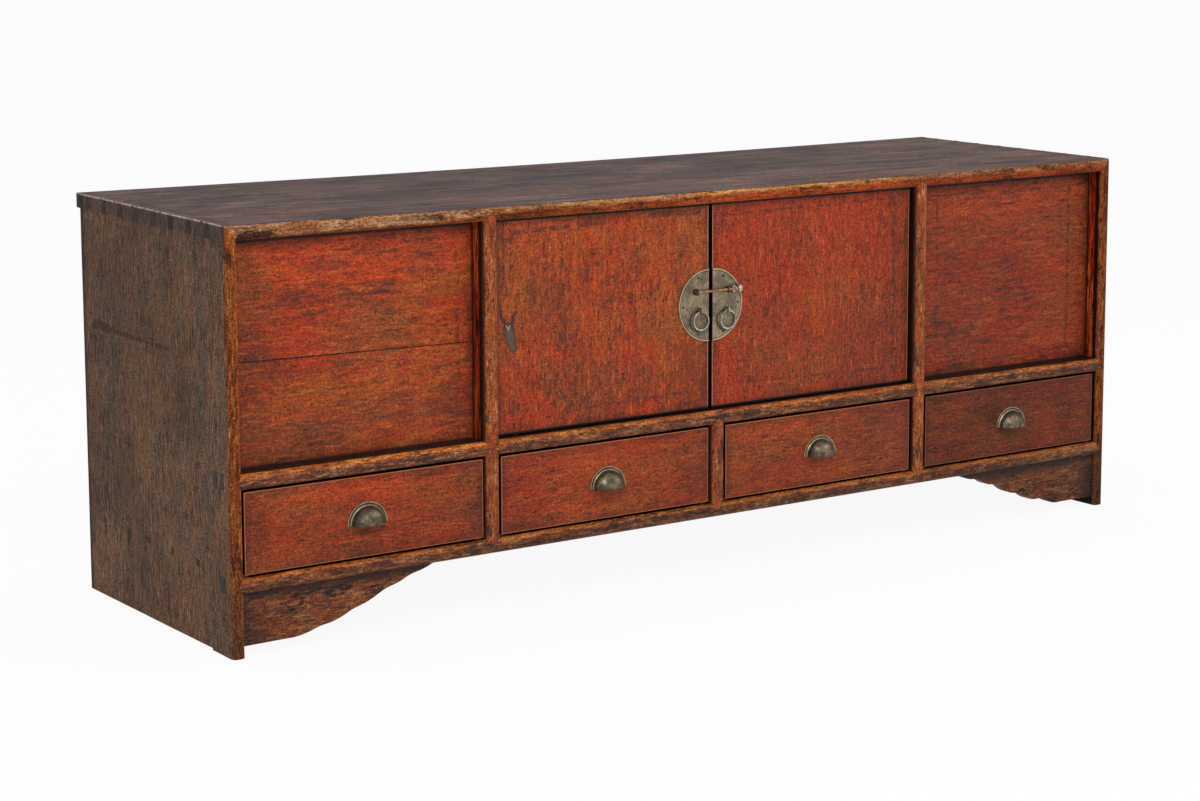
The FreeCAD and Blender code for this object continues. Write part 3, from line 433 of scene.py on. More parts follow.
def worn_edge(paint, axis):
    """Paint the lacquered front edge of the top (along x) or of a side board (along z)."""
    run = paint.along(axis, 30, 3, 8, 0.76)
    streak = paint.along(axis, 260, 9, 5, 0.74)
    low, high, dirt = (((140, 66, 30), (170, 94, 42), 0.55) if axis == "x" else
                       ((116, 54, 26), (146, 80, 34), 0.8))
    paint.colour = rgb(*low)
    paint.lay(high, paint.step(run, 0.42, 0.56))
    paint.lay((200, 120, 58), paint.step(streak, 0.52, 0.62), 0.6)
    paint.lay((70, 36, 24), paint.step(streak, 0.47, 0.38), 0.6)
    if axis == "x":
        level = paint.shaken(paint.z, 0.012, (40, 90, 90), 6)
        level = paint.plus(level, paint.step(paint.x, -0.5, -0.38, 0.007, 0.0))
        tan = paint.blend(paint.veins("x", 110, 4, 0.44, 0.58, 7, 0.8), rgb(168, 104, 64),
                          rgb(212, 162, 118))
        tan = paint.blend(paint.step(paint.x, 0.1, 0.5, 0.0, 0.6), tan, rgb(160, 98, 60))
        paint.lay(tan, paint.step(level, 0.586, 0.591), 0.88)
        paint.lay((176, 66, 30), paint.step(paint.x, -0.5, 0.1),
                  paint.step(paint.z, 0.593, 0.586), 0.65)
        middle = paint.product(paint.step(paint.x, -0.4, -0.1), paint.step(paint.x, 0.5, 0.25))
        paint.lay((230, 152, 66), middle, paint.step(level, 0.589, 0.593),
                  paint.step(run, 0.4, 0.5), 0.75)
        paint.dim(paint.step(middle, 0.0, 1.0, 1.0, 1.22))
        paint.lay((46, 34, 32), paint.capsule((-0.8, 0.583), (-0.755, 0.585), 0.006), 0.8)
        paint.lay((206, 108, 56), paint.fall(paint.z, 0.5785, 0.5794), 0.7)
    else:
        paint.lay((196, 96, 34), paint.fall(paint.size(paint.x), 0.8065, 0.8085), 0.6)
        paint.lay((78, 56, 42), paint.fall(paint.shaken(paint.z, 0.16, 12), 0.03, 0.17), 0.75)
    paint.lay((48, 36, 32), paint.veins(axis, 44, 2.2, 0.55, 0.6, 7, 0.76),
              paint.veins(axis, 260, 4, 0.36, 0.5), 0.8)
    paint.lay((48, 30, 24), paint.veins(axis, 420, 6, 0.56, 0.62, 3, 0.6), dirt)
    paint.lay((40, 28, 26), paint.spots(340, 0.58, 0.63, 3, 0.6), dirt)


def board_wood(name, axis, seed, tones, painted_light=1.0, marks=(), painted_recess_light_depth=0.0, coarse=1.0,
               painted_edge_light=1.0, clouds=0.2):
    """A bare, dirty plank, brown-grey with cooler patches and orange-brown streaks in its grain,
    whose front edge is still lacquered and worn. The top's grain runs along x, a side's along z."""
    main, cool, warm, deep, pale = tones
    paint = Paint(name, seed, main)
    cloud = paint.along(axis, 11, 2.2, 8, 0.72, 0.5)
    broad = paint.along(axis, 4, 1.3, 6, 0.7, 0.4)
    band = paint.along(axis, 44 * coarse, 8, 6, 0.72, 0.3)
    streak = paint.along(axis, 230 * coarse, 12, 5, 0.78)
    fibre = paint.along(axis, 430 * coarse, 7, 4, 0.8)
    grit = paint.noise(320, 4, 0.8)
    paint.lay(cool, paint.step(cloud, 0.45, 0.57), 0.75)
    paint.lay(warm, paint.step(band, 0.48, 0.62), 0.5)
    paint.lay(warm, paint.step(streak, 0.52, 0.62), 0.45)
    paint.lay(pale, paint.veins(axis, 300 * coarse, 9, 0.52, 0.6, 5, 0.76),
              paint.spots(9, 0.4, 0.54, 6, 0.7), 0.7)
    paint.lay(deep, paint.veins(axis, 340 * coarse, 11, 0.53, 0.59, 4),
              paint.spots(12, 0.3, 0.5, 4), 0.8)
    paint.lay(cool, paint.veins(axis, 46, 2.2, 0.52, 0.6, 8, 0.8), 0.55)
    paint.lay(deep, paint.veins(axis, 170, 2, 0.57, 0.63, 5, 0.7), 0.75)
    for fineness, low in ((430, 0.58), (240, 0.6)):
        paint.lay(deep, paint.spots(fineness, low, low + 0.05, 3, 0.6), 0.6)
    paint.lay(pale, paint.spots(400, 0.58, 0.64, 3, 0.6), 0.5)
    paint.dim(paint.step(broad, 0.38, 0.62, 1 - clouds, 1 + clouds))
    turn, scale = ((0.5, 0, 0), (60, 5, 60)) if axis == "z" else ((0, 0, 0.5), (5, 60, 60))
    paint.lay(deep, scratches(paint, turn, scale), 0.6)
    height = paint.plus(paint.product(fibre, 0.8), paint.product(streak, 1.6))
    if axis == "z":
        level = paint.shaken(paint.z, 0.03, 30, 5)
        paint.lay((62, 56, 52), paint.step(level, 0.57, 0.582, 0.0, 0.6))
        rear = paint.shaken(paint.y, 0.02, (30, 30, 8), 5)
        paint.lay(deep, paint.step(rear, 0.226, 0.238, 0.0, 0.7))
    for start, end, radius, tone, amount in marks:
        inside = paint.capsule(start, end, radius, across="y")
        paint.lay(tone, inside, amount)
        height = paint.minus(height, paint.product(inside, 2.0))
    if axis == "x":
        paint.lay((64, 56, 50), paint.step(paint.size(paint.facing("x")), 0.5, 0.7), 0.8)
    # A painted highlight along the upper outer arris at each end, broken into dashes.
    out = paint.shaken(paint.size(paint.x), 0.0016, 160)
    paint.lay((190, 172, 156), paint.step(out, 0.8204, 0.8216), paint.step(paint.z, 0.5972, 0.5986),
              paint.spots(70, 0.36, 0.46, 5, 0.7), 0.85)
    forward = paint.minus(paint.uneven(0.9, 110), paint.facing("y"))
    front = paint.product(paint.step(forward, 0.3, 0.48), paint.step(paint.y, -0.2255, -0.2285))
    board = paint.colour
    worn_edge(paint, axis)
    # The edge light factor is painted shade: the front edge made darker where less light falls on
    # it.
    paint.dim(painted_edge_light)
    edge, paint.colour = paint.colour, board
    paint.lay(edge, front)
    # Painted glow and shade on the sides of a recess that face left.
    if painted_recess_light_depth:
        paint_recess_glow_and_shade(paint, painted_recess_light_depth)
    # The light factor is painted light: the whole plank made lighter or darker for how light falls
    # on it.
    paint.dim(paint.step(fibre, 0.36, 0.64, 0.66, 1.34), painted_light,
              paint.step(grit, 0.38, 0.62, 0.6, 1.4))
    rough = paint.step(cloud, 0.35, 0.65, 0.5, 0.62)
    return paint.finish(rough, paint.bump(height, 0.8, 0.0009), specular=0.05)


def plain_wood(name, axis, seed, tone=(124, 90, 60)):
    """Unfinished wood of the inside and the back, dusty and brown, with dark pores."""
    paint = Paint(name, seed, tone)
    cloud = paint.along(axis, 8, 3, 7, 0.7, 0.5)
    band = paint.along(axis, 60, 16, 6, 0.7, 0.2)
    fibre = paint.along(axis, 430, 18, 4, 0.8)
    paint.lay([0.7 * channel for channel in tone], paint.step(band, 0.4, 0.62))
    paint.lay((92, 76, 62), paint.step(cloud, 0.46, 0.6), 0.5)
    paint.lay((52, 38, 28), paint.veins(axis, 380, 14, 0.56, 0.62), 0.6)
    paint.lay((48, 38, 30), paint.spots(240, 0.64, 0.7, 3, 0.6), 0.5)
    paint.dim(paint.step(fibre, 0.34, 0.66, 0.76, 1.2))
    return paint.finish(0.74, paint.bump(fibre, 0.6, 0.0006), specular=0.2)


# Metal

def old_brass(name, seed, bright, dull, deep, rough=(0.3, 0.52), metal=(0.6, 1.0), rings=(),
              scale=70, green=0.0, zones=(), outline=0.0):
    """Brass gone grey and brown: bright where hands rub it, dark where dirt stays. Each ring is a
    spot on the front, a radius, a width, a tone and an amount; each zone an axis, where it
    begins and is full, a tone and an amount. An outline amount lays painted shade, in the deep
    tone, on the sides that face away from the front."""
    paint = Paint(name, seed, bright)
    cloud = paint.noise(scale, 7, 0.7, 0.4)
    fine = paint.noise(6 * scale, 5, 0.65)
    brushed = paint.along("z", 1500, 14, 3, 0.65)
    paint.lay(dull, paint.step(cloud, 0.38, 0.62))
    if green:
        paint.lay((52, 62, 44), paint.spots(0.8 * scale, 0.54, 0.64, 6, 0.7), green)
    pits = paint.spots(10 * scale, 0.6, 0.68, 3, 0.6)
    paint.lay(deep, pits, 0.6)
    paint.lay(deep, paint.step(fine, 0.5, 0.68), 0.6)
    paint.dim(paint.step(brushed, 0.3, 0.7, 0.8, 1.1))
    for spot, radius, width, tone, amount in rings:
        paint.lay(tone, paint.ring(spot, radius, width), amount)
    for axis, begins, full, tone, amount in zones:
        paint.lay(tone, paint.step(getattr(paint, axis), begins, full), amount)
    height = paint.plus(paint.product(cloud, 2.0), paint.product(fine, 0.8))
    height = paint.plus(height, paint.product(brushed, 0.5))
    roughness = paint.plus(paint.step(cloud, 0.35, 0.65, *rough), paint.product(pits, 0.15))
    metallic = paint.step(paint.plus(cloud, paint.product(pits, 0.3)), 0.35, 0.8, metal[1],
                          metal[0])
    if outline:
        # Painted shade on the sides that face away from the front, made less metallic too.
        aside = paint.step(paint.shaken(paint.facing("y"), 0.3, 300), -0.72, -0.45)
        aside = paint.product(aside, paint.fall(paint.size(paint.facing("x")), 0.75, 0.95))
        paint.lay(deep, aside, outline)
        metallic = paint.product(metallic, paint.step(aside, 0.0, 1.0, 1.0, 0.1))
    return paint.finish(roughness, paint.bump(height, 0.6, 0.0004), metallic=metallic)


# Geometry

def own_mesh(node, bm, material, sharp=40):
    """Finish the mesh that takes a node's place: smooth shading but for sharp folds, flat faces
    kept flat, riding on the node's body."""
    name = f"{node}_worn"
    mesh = bpy.data.meshes.new(name)
    bmesh.ops.recalc_face_normals(bm, faces=bm.faces)
    bm.to_mesh(mesh)
    bm.free()
    mesh.materials.append(material)
    mesh.shade_smooth()
    mesh.set_sharp_from_angle(angle=math.radians(sharp))
    normals = mesh.attributes.new("rest_normal", "FLOAT_VECTOR", "CORNER")
    flat = [number for corner in mesh.corner_normals for number in corner.vector]
    normals.data.foreach_set("vector", flat)
    piece = link(name, mesh)
    weighted = piece.modifiers.new("flat", "WEIGHTED_NORMAL")
    weighted.keep_sharp = True
    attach(piece, NODES[node]["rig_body"])
    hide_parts(node)


def link(name, data):
    made = bpy.data.objects.new(name, data)
    bpy.context.scene.collection.objects.link(made)
    return made


def cut_across(bm, axis, low, high, spacing):
    """Slice every face at even steps along an axis, so that it can bend."""
    normal = Vector([float(axis == name) for name in "xyz"])
    count = max(1, round((high - low) / spacing))
    for index in range(1, count):
        at = low + (high - low) * index / count
        bmesh.ops.bisect_plane(bm, geom=bm.verts[:] + bm.edges[:] + bm.faces[:], dist=1e-6,
                               plane_co=normal * at, plane_no=normal)


def bevelled(bm, edges, width):
    bmesh.ops.bevel(bm, geom=edges, offset=width, offset_type="OFFSET", segments=2, profile=0.55,
                    affect="EDGES", clamp_overlap=True)


def eased(node, width, material, cuts=(), shape=None):
    """A copy of a CAD node with its arrises eased, sliced at steps and shaped point by point."""
    bm = bmesh.new()
    bm.from_mesh(NODES[node].data)
    bmesh.ops.remove_doubles(bm, verts=bm.verts, dist=2e-6)
    bmesh.ops.dissolve_limit(bm, angle_limit=0.01, verts=bm.verts, edges=bm.edges)
    bevelled(bm, [edge for edge in bm.edges
                  if len(edge.link_faces) == 2 and edge.calc_face_angle(0.0) > SHARP_FOLD], width)
    low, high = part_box(node)
    for axis, spacing in cuts:
        index = "xyz".index(axis)
        cut_across(bm, axis, low[index], high[index], spacing)
    if shape:
        for vert in bm.verts:
            shape(vert.co, low, high)
    own_mesh(node, bm, material)


def wave(point):
    """Fixed smooth noise from 0 to 1."""
    return 0.5 + 0.5 * noise.noise(point)


def hand_planed(point, low, high):
    """Faces of hand-planed wood: a gentle, fixed unevenness drawn inward."""
    pull = 0.5 * MM * wave(point * 9)
    middle, half = (low + high) / 2, (high - low) / 2
    moved = [pull * (1 if m > p else -1) for p, m in zip(point, middle)]
    for index in range(3):
        if abs(abs(point[index] - middle[index]) - half[index]) < 0.0015:
            point[index] += moved[index]


def sagging_top(point, low, high):
    """The plank top sags by some millimetres in its middle and its front arris is worn wavy."""
    share = (point.x - low.x) / (high.x - low.x)
    bow = math.sin(math.pi * min(max(share, 0.0), 1.0))
    upper = (point.z - low.z) / (high.z - low.z)
    point.z -= (1.2 + 2.2 * upper) * MM * bow
    if point.y < low.y + 0.012 and upper > 0.4:
        wear = wave(Vector((point.x * 11, 3.0, 1.0)))
        fine = wave(Vector((point.x * 60, 7.0, 2.0)))
        point.z -= (1.1 * wear + 0.5 * fine) * MM
        point.y += (0.8 * wear + 0.5 * fine) * MM


def turned(bm, profile, spot, axis, sweep=math.tau, start=0.0, steps=48, shape=None):
    """Turn a closed profile of (radius, rise) about an axis, all round or part of the way. Shape
    may change the radius and the rise at each share of the way round."""
    axis = Vector(axis)
    first = Vector((0, 0, 1)) if abs(axis.z) < 0.5 else Vector((1, 0, 0))
    second = axis.cross(first)
    whole = abs(sweep - math.tau) < 1e-6
    rings = []
    for step in range(steps if whole else steps + 1):
        share = step / steps
        angle = start + sweep * share
        out = first * math.cos(angle) + second * math.sin(angle)
        points = [shape(radius, rise, share) for radius, rise in profile] if shape else profile
        rings.append([bm.verts.new(Vector(spot) + axis * rise + out * radius)
                      for radius, rise in points])
    count = len(profile)
    for step in range(steps):
        here, there = rings[step], rings[(step + 1) % len(rings)]
        for index in range(count):
            after = (index + 1) % count
            bm.faces.new((here[index], here[after], there[after], there[index]))
    if not whole:
        bm.faces.new(rings[0])
        bm.faces.new(rings[-1][::-1])
    bmesh.ops.remove_doubles(bm, verts=[vert for ring in rings for vert in ring], dist=1e-7)


def arc(radius, centre, start, end, count, flat=1.0):
    """Points of an arc in a profile, angles in turns from the outward direction."""
    made = []
    for index in range(count + 1):
        angle = math.tau * (start + (end - start) * index / count)
        made.append((centre[0] + radius * math.cos(angle),
                     centre[1] + flat * radius * math.sin(angle)))
    return made


def in_metres(profile):
    return [(radius * MM, rise * MM) for radius, rise in profile]


OUTWARD, ALONG = (0, -1, 0), (1, 0, 0)

# Outline of a bracket from the rail down to the side board, a lobe and a cove in turn: where
# each starts, as shares of its length and its drop.
SCALLOPS = ((1, 0), (0.9, 0.13), (0.85, 0.2), (0.765, 0.32), (0.7, 0.43), (0.59, 0.61),
            (0.535, 0.695), (0.44, 0.83), (0.355, 0.905), (0.25, 0.99))


def bracket(node, sign, swell, material):
    """A scalloped bracket whose lobes swell by a share of their chords, its arrises eased."""
    low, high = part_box(node)
    corner = low.x if sign > 0 else high.x
    reach, drop = high.x - low.x, high.z - low.z
    outline = [(0.0, 0.0)]
    for index, (along, down) in enumerate(SCALLOPS[:-1]):
        after = SCALLOPS[index + 1]
        bulge = swell * (1 if index % 2 == 0 else -1)
        run, fall = (along - after[0]) * reach, (after[1] - down) * drop
        for step in range(6):
            share = step / 6
            off = bulge * math.sin(math.pi * share)
            outline.append(((along + (after[0] - along) * share) * reach + off * fall,
                            (down + (after[1] - down) * share) * drop + off * run))
    outline += [(SCALLOPS[-1][0] * reach, SCALLOPS[-1][1] * drop), (0.0, drop)]
    bm = bmesh.new()
    front = [bm.verts.new((corner + sign * along, low.y, high.z - down))
             for along, down in outline]
    back = [bm.verts.new((vert.co.x, high.y, vert.co.z)) for vert in front]
    bm.faces.new(front)
    bm.faces.new(back[::-1])
    for index, vert in enumerate(front):
        after = (index + 1) % len(front)
        bm.faces.new((vert, back[index], back[after], front[after]))
    bevelled(bm, [edge for edge in bm.edges
                  if abs(edge.verts[0].co.y - edge.verts[1].co.y) < 1e-6], 0.9 * MM)
    own_mesh(node, bm, material)


def lock_plate(side, sign, brass):
    """Half of the round plate: a raised, rubbed rim and a slightly dished, hammered field."""
    node = f"{side}_lock_plate"
    low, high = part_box(node)
    radius = (high.z - low.z) / 2 / MM
    meeting = high.x if sign < 0 else low.x
    profile = in_metres([(0, 0), (radius - 0.3, 0), (radius, 0.4), (radius, 1.5),
                         (radius - 0.4, 2.0), (radius - 1.1, 2.2), (radius - 1.9, 2.05),
                         (radius - 2.6, 1.55), (radius - 3.4, 1.36), (radius - 8, 1.34),
                         (radius * 0.6, 1.4), (radius * 0.3, 1.46), (0, 1.5)])
    bm = bmesh.new()
    turned(bm, profile, (meeting, high.y, (low.z + high.z) / 2), OUTWARD, sweep=-sign * math.pi,
           steps=72)
    for vert in bm.verts:
        if high.y - vert.co.y > 0.001:
            vert.co.y += 0.12 * MM * wave(vert.co * 160)
    own_mesh(node, bm, brass, sharp=50)


def plate_nails(side, sign, metal):
    """Three low, uneven nail heads in one half of the plate."""
    node = f"{side}_plate_nails"
    low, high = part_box(f"{side}_lock_plate")
    reach = (high.z - low.z) / 2 - 8 * MM
    meeting = high.x if sign < 0 else low.x
    bm = bmesh.new()
    for index, share in enumerate((0.14, 0.5, 0.86)):
        turn = math.pi * share
        spot = (meeting + sign * reach * math.sin(turn), high.y - 1.3 * MM,
                (low.z + high.z) / 2 + reach * math.cos(turn))
        head = in_metres([(0, 0), (1.95, 0), (1.98, 0.35), (1.7, 0.75), (1.15, 1.05 + 0.1 * index),
                          (0.5, 1.2), (0, 1.22)])
        turned(bm, head, spot, OUTWARD, steps=18,
               shape=lambda r, h, s: (r * (0.95 + 0.05 * math.sin(math.tau * s + index)), h))
    own_mesh(node, bm, metal)


def wire_eye(node, metal, wire=1.42):
    """A wire eye whose two legs run into a small turned collar."""
    low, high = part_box(node)
    x = (low.x + high.x) / 2
    z = (low.z + high.z) / 2
    centre = (x, low.y + 5.3 * MM, z)
    bm = bmesh.new()
    section = in_metres(arc(wire, (5.25 - wire, 0), 0, 15 / 16, 15))
    turned(bm, section, centre, ALONG, steps=32,
           shape=lambda r, h, s: (r, h * (1 + 0.05 * math.cos(math.tau * s))))
    collar = in_metres([(0, 0), (4.6, 0), (4.6, 0.45), (4.25, 0.95), (3.5, 1.25), (2.9, 1.3),
                        (2.3, 1.6), (1.7, 2.1), (0, 2.2)])
    turned(bm, collar, (x, high.y, z), OUTWARD, steps=28)
    own_mesh(node, bm, metal)


def ring_pull(node, metal):
    """A bent-wire ring, flat in section, thin where it runs in its eye, its ends butted beside."""
    low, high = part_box(node)
    centre = ((low.x + high.x) / 2, (low.y + high.y) / 2, (low.z + high.z) / 2)
    outer = (high.x - low.x) / 2
    thin, thick = 1.24 * MM, 1.95 * MM
    wire = arc(1.0, (0, 0), 0, 15 / 16, 15)

    def bent(radius, rise, share):
        turn = math.tau * min(share, 1 - share)
        worn = math.exp(-(turn / 0.42) ** 2)
        beat = noise.noise(Vector((5 * math.cos(math.tau * share), 5 * math.sin(math.tau * share),
                                   centre[0] * 90)))
        half = thick + (thin - thick) * worn - (0.05 + 0.05 * beat) * MM
        middle = outer - half - 0.06 * MM * (1 + beat)
        seam = 0.82 if abs(share - 0.09) < 0.006 else 1.0
        return middle + radius * half * seam, rise * 1.28 * MM * seam
    bm = bmesh.new()
    turned(bm, wire, centre, OUTWARD, steps=96, shape=bent)
    own_mesh(node, bm, metal)


def lock_pin(metal):
    """A round pin with a collar, a flattened knob at its end and two lobes beside its bulb."""
    low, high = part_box("lock_pin")
    y, z = (low.y + high.y) / 2, (low.z + high.z) / 2
    shank = in_metres(
        [(0, -3), (1.8, -2.95), (2.35, -2.6), (2.5, -2), (2.4, 14), (2.42, 30), (2.5, 50),
         (2.5, 61), (2.5, 62.3), (3.1, 62.5), (3.4, 63.0), (3.4, 64.5), (3.1, 65.0), (2.3, 65.2),
         (2.3, 66.6)]
        + arc(4.2, (0, 71), -0.18, 0.17, 12)
        + arc(5.1, (0, 77.9), -0.13, 0.19, 12)
        + [(1.5, 82.4), (1.1, 81.9), (0, 81.8)])
    bm = bmesh.new()
    turned(bm, shank, (low.x, y, z), ALONG, steps=32)
    for vert in bm.verts:
        share = min(max((vert.co.x - low.x) / MM - 72.5, 0.0) / 2.5, 1.0)
        vert.co.z = z + (vert.co.z - z) * (1 + 0.34 * share)
    lobe = in_metres([(0, 0), (2.2, 0), (2.3, 0.6), (3.3, 1.2), (4.0, 2.4), (4.25, 3.7),
                      (4.05, 5.0), (3.4, 6.1), (2.4, 6.9), (1.3, 7.35), (0.6, 7.5), (0, 7.55)])
    for side in (1, -1):
        turned(bm, lobe, (low.x + 66.0 * MM, y, z), (0, 0, side), steps=28)
    own_mesh("lock_pin", bm, metal)


def cup_pull(number, brass):
    """A cast cup pull: a knurled rim, a flat flange with three nails, a beaded foot and a dome
    with a raised arch, hollow and open below."""
    node = f"drawer_{number}_pull"
    low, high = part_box(node)
    x = (low.x + high.x) / 2
    spot = (x, high.y, low.z)
    outer = [(32.0, 0), (32.0, 1.3), (31.6, 1.9), (31.0, 2.1), (30.3, 1.9), (29.8, 1.35),
             (29.2, 1.15), (28.2, 1.2), (27.6, 1.5), (27.2, 2.1), (26.7, 2.45), (26.1, 2.2),
             (25.7, 2.3)]
    rise = 18.7
    dome = []
    for index in range(1, 15):
        turn = math.pi / 2 * index / 14
        ridge = 0.45 * math.exp(-((index - 8.2) / 0.55) ** 2)
        dome.append((25.7 * math.cos(turn) + 0.5 * ridge if index < 14 else 0.0,
                     min(2.3 + rise * math.sin(turn) ** 0.92 + ridge, 21.0)))
    inner = [(24.2 * math.sin(math.pi / 2 * index / 8),
              19.5 * math.cos(math.pi / 2 * index / 8)) for index in range(9)]
    profile = in_metres(outer + dome + inner)

    def knurled(radius, height, share):
        notch = 0.5 + 0.5 * math.cos(math.tau * 44 * share)
        if 30.2 * MM < radius < 31.9 * MM and height > 1.6 * MM:
            height -= 0.55 * MM * notch
        relief = noise.noise(Vector((radius * 260, share * 9, number * 5.0)))
        if 4 * MM < height < 20.4 * MM and radius > 1 * MM:
            radius *= 1 + 0.012 * relief
        return radius, height
    bm = bmesh.new()
    turned(bm, profile, spot, OUTWARD, sweep=math.pi, start=-math.pi / 2, steps=176,
           shape=knurled)
    reach = 28.6 * MM
    for along, up in ((-reach, 3.4 * MM), (reach, 3.4 * MM), (0, reach)):
        head = in_metres([(0, 0), (1.4, 0), (1.4, 0.3), (1.1, 0.7), (0.6, 0.95), (0, 1.0)])
        turned(bm, head, (x + along, high.y - 1.2 * MM, low.z + up), OUTWARD, steps=14)
    own_mesh(node, bm, brass, sharp=50)


# The camera, the lamps, the floor and the backdrop

def make_camera():
    yaw, pitch, roll = 0.63382, 0.14325, 0.00361
    spot = Vector((-2.3995, -3.5030, 1.0431))
    ahead = Vector((math.sin(yaw) * math.cos(pitch), math.cos(yaw) * math.cos(pitch),
                    -math.sin(pitch)))
    right = Vector((math.cos(yaw), -math.sin(yaw), 0))
    up = right.cross(ahead)
    across = right * math.cos(roll) + up * math.sin(roll)
    above = up * math.cos(roll) - right * math.sin(roll)
    data = bpy.data.cameras.new("camera")
    data.sensor_width = 36
    data.lens = 80.611
    data.shift_x = -0.1
    data.shift_y = -0.1
    data.clip_end = 60
    camera = link("camera", data)
    camera.matrix_world = (Matrix.Translation(spot)
                           @ Matrix((across, above, -ahead)).transposed().to_4x4())
    bpy.context.scene.camera = camera


def make_lamp(name, spot, aim, size, power):
    data = bpy.data.lights.new(name, "AREA")
    data.shape = "RECTANGLE"
    data.size, data.size_y = size
    data.energy = power
    lamp = link(name, data)
    lamp.location = spot
    lamp.rotation_mode = "QUATERNION"
    lamp.rotation_quaternion = (Vector(aim) - Vector(spot)).to_track_quat("-Z", "Y")


def seen_rays(tree):
    """1 for the rays that should find the plain white background, else 0."""
    path = tree.nodes.new("ShaderNodeLightPath")
    total = path.outputs["Is Camera Ray"]
    for name in ("Is Glossy Ray", "Is Transmission Ray"):
        either = tree.nodes.new("ShaderNodeMath")
        either.operation = "MAXIMUM"
        tree.links.new(total, either.inputs[0])
        tree.links.new(path.outputs[name], either.inputs[1])
        total = either.outputs[0]
    return total


def make_stage():
    """A white floor that keeps the shadow, in a world that is white where it is seen."""
    floor_material = bpy.data.materials.new("pale_floor")
    floor_material.use_nodes = True
    tree = floor_material.node_tree
    tree.nodes.clear()
    diffuse = tree.nodes.new("ShaderNodeBsdfDiffuse")
    diffuse.inputs["Color"].default_value = (0.93, 0.93, 0.93, 1)
    glow = tree.nodes.new("ShaderNodeEmission")
    glow.inputs["Strength"].default_value = 1.0
    share = tree.nodes.new("ShaderNodeMath")
    share.operation = "MULTIPLY"
    share.inputs[1].default_value = 0.93
    mixed = tree.nodes.new("ShaderNodeMixShader")
    output = tree.nodes.new("ShaderNodeOutputMaterial")
    tree.links.new(seen_rays(tree), share.inputs[0])
    tree.links.new(share.outputs[0], mixed.inputs[0])
    tree.links.new(diffuse.outputs[0], mixed.inputs[1])
    tree.links.new(glow.outputs[0], mixed.inputs[2])
    tree.links.new(mixed.outputs[0], output.inputs["Surface"])
    bm = bmesh.new()
    bmesh.ops.create_grid(bm, x_segments=1, y_segments=1, size=30)
    mesh = bpy.data.meshes.new("floor")
    bm.to_mesh(mesh)
    bm.free()
    mesh.materials.append(floor_material)
    floor = link("floor", mesh)
    floor.location.z = -0.0005

    world = bpy.data.worlds.new("soft_white")
    bpy.context.scene.world = world
    world.use_nodes = True
    tree = world.node_tree
    tree.nodes.clear()
    strength = tree.nodes.new("ShaderNodeMapRange")
    strength.inputs["To Min"].default_value = 0.55
    strength.inputs["To Max"].default_value = 1.0
    tree.links.new(seen_rays(tree), strength.inputs["Value"])
    back = tree.nodes.new("ShaderNodeBackground")
    back.inputs["Color"].default_value = (1, 1, 1, 1)
    tree.links.new(strength.outputs["Result"], back.inputs["Strength"])
    output = tree.nodes.new("ShaderNodeOutputWorld")
    tree.links.new(back.outputs[0], output.inputs["Surface"])


make_camera()
make_stage()
make_lamp("key", (-1.6, -3.2, 3.0), (0, 0, 0.3), (2.6, 2.0), 62)
make_lamp("fill", (3.2, -2.4, 2.2), (0.2, 0, 0.3), (2.4, 2.4), 26)
make_lamp("over", (0.0, 0.4, 3.4), (0, 0, 0.5), (3.0, 1.6), 20)
bpy.context.scene.view_settings.view_transform = "Standard"


# The pieces

# Of a bare plank: its main tone, then cooler, warmer, deep and pale
SIDE_TONES = (108, 72, 50), (84, 75, 66), (126, 80, 46), (34, 25, 19), (150, 118, 94)
TOP_TONES = (98, 66, 57), (78, 66, 67), (132, 78, 56), (32, 25, 23), (142, 112, 102)
SCAR, STAIN = (60, 38, 24), (42, 31, 23)

# Marks on the left side: where each starts and ends as (y, z), its radius, tone and amount
side_marks = [
    ((0.2, 0.4105), (0.15, 0.4085), 0.0085, SCAR, 0.75),
    ((0.14, 0.4085), (0.04, 0.408), 0.0042, SCAR, 0.7),
    ((0.04, 0.408), (-0.055, 0.4075), 0.003, SCAR, 0.6),
    ((0.185, 0.403), (0.16, 0.397), 0.004, (126, 72, 34), 0.6),
    ((0.205, 0.158), (0.17, 0.14), 0.022, (86, 76, 64), 0.5),
]
for at in (0.216, 0.206, 0.194, 0.182, 0.17):
    drop = 0.006 * math.sin(at * 900)
    side_marks.append(((at, 0.163 + drop), (at - 0.002, 0.138 - drop), 0.0022, STAIN, 0.8))
for at in (0.185, 0.1, 0.031, -0.049, -0.13):
    side_marks.append(((at, 0.099), (at, 0.119), 0.0052, STAIN, 0.7))
    side_marks.append(((at - 0.005, 0.1), (at - 0.005, 0.12), 0.0018, (22, 18, 16), 0.8))
# The right side board carries a painted glow and shade on its recess side.
for node, wood in (
        ("left_side_board", board_wood("side_left", "z", 3.1, SIDE_TONES, marks=side_marks)),
        ("right_side_board", board_wood("side_right", "z", 8.7, SIDE_TONES, painted_recess_light_depth=0.03,
                                        painted_edge_light=0.72))):
    eased(node, 0.8 * MM, wood, cuts=(("z", 0.05), ("y", 0.06)),
          shape=hand_planed)
# The top is painted darker overall as painted shade, for the little light it catches.
eased("top_board", 0.8 * MM, board_wood("top_plank", "x", 5.3, TOP_TONES, coarse=0.15, painted_light=0.63),
      cuts=(("x", 0.02),), shape=sagging_top)

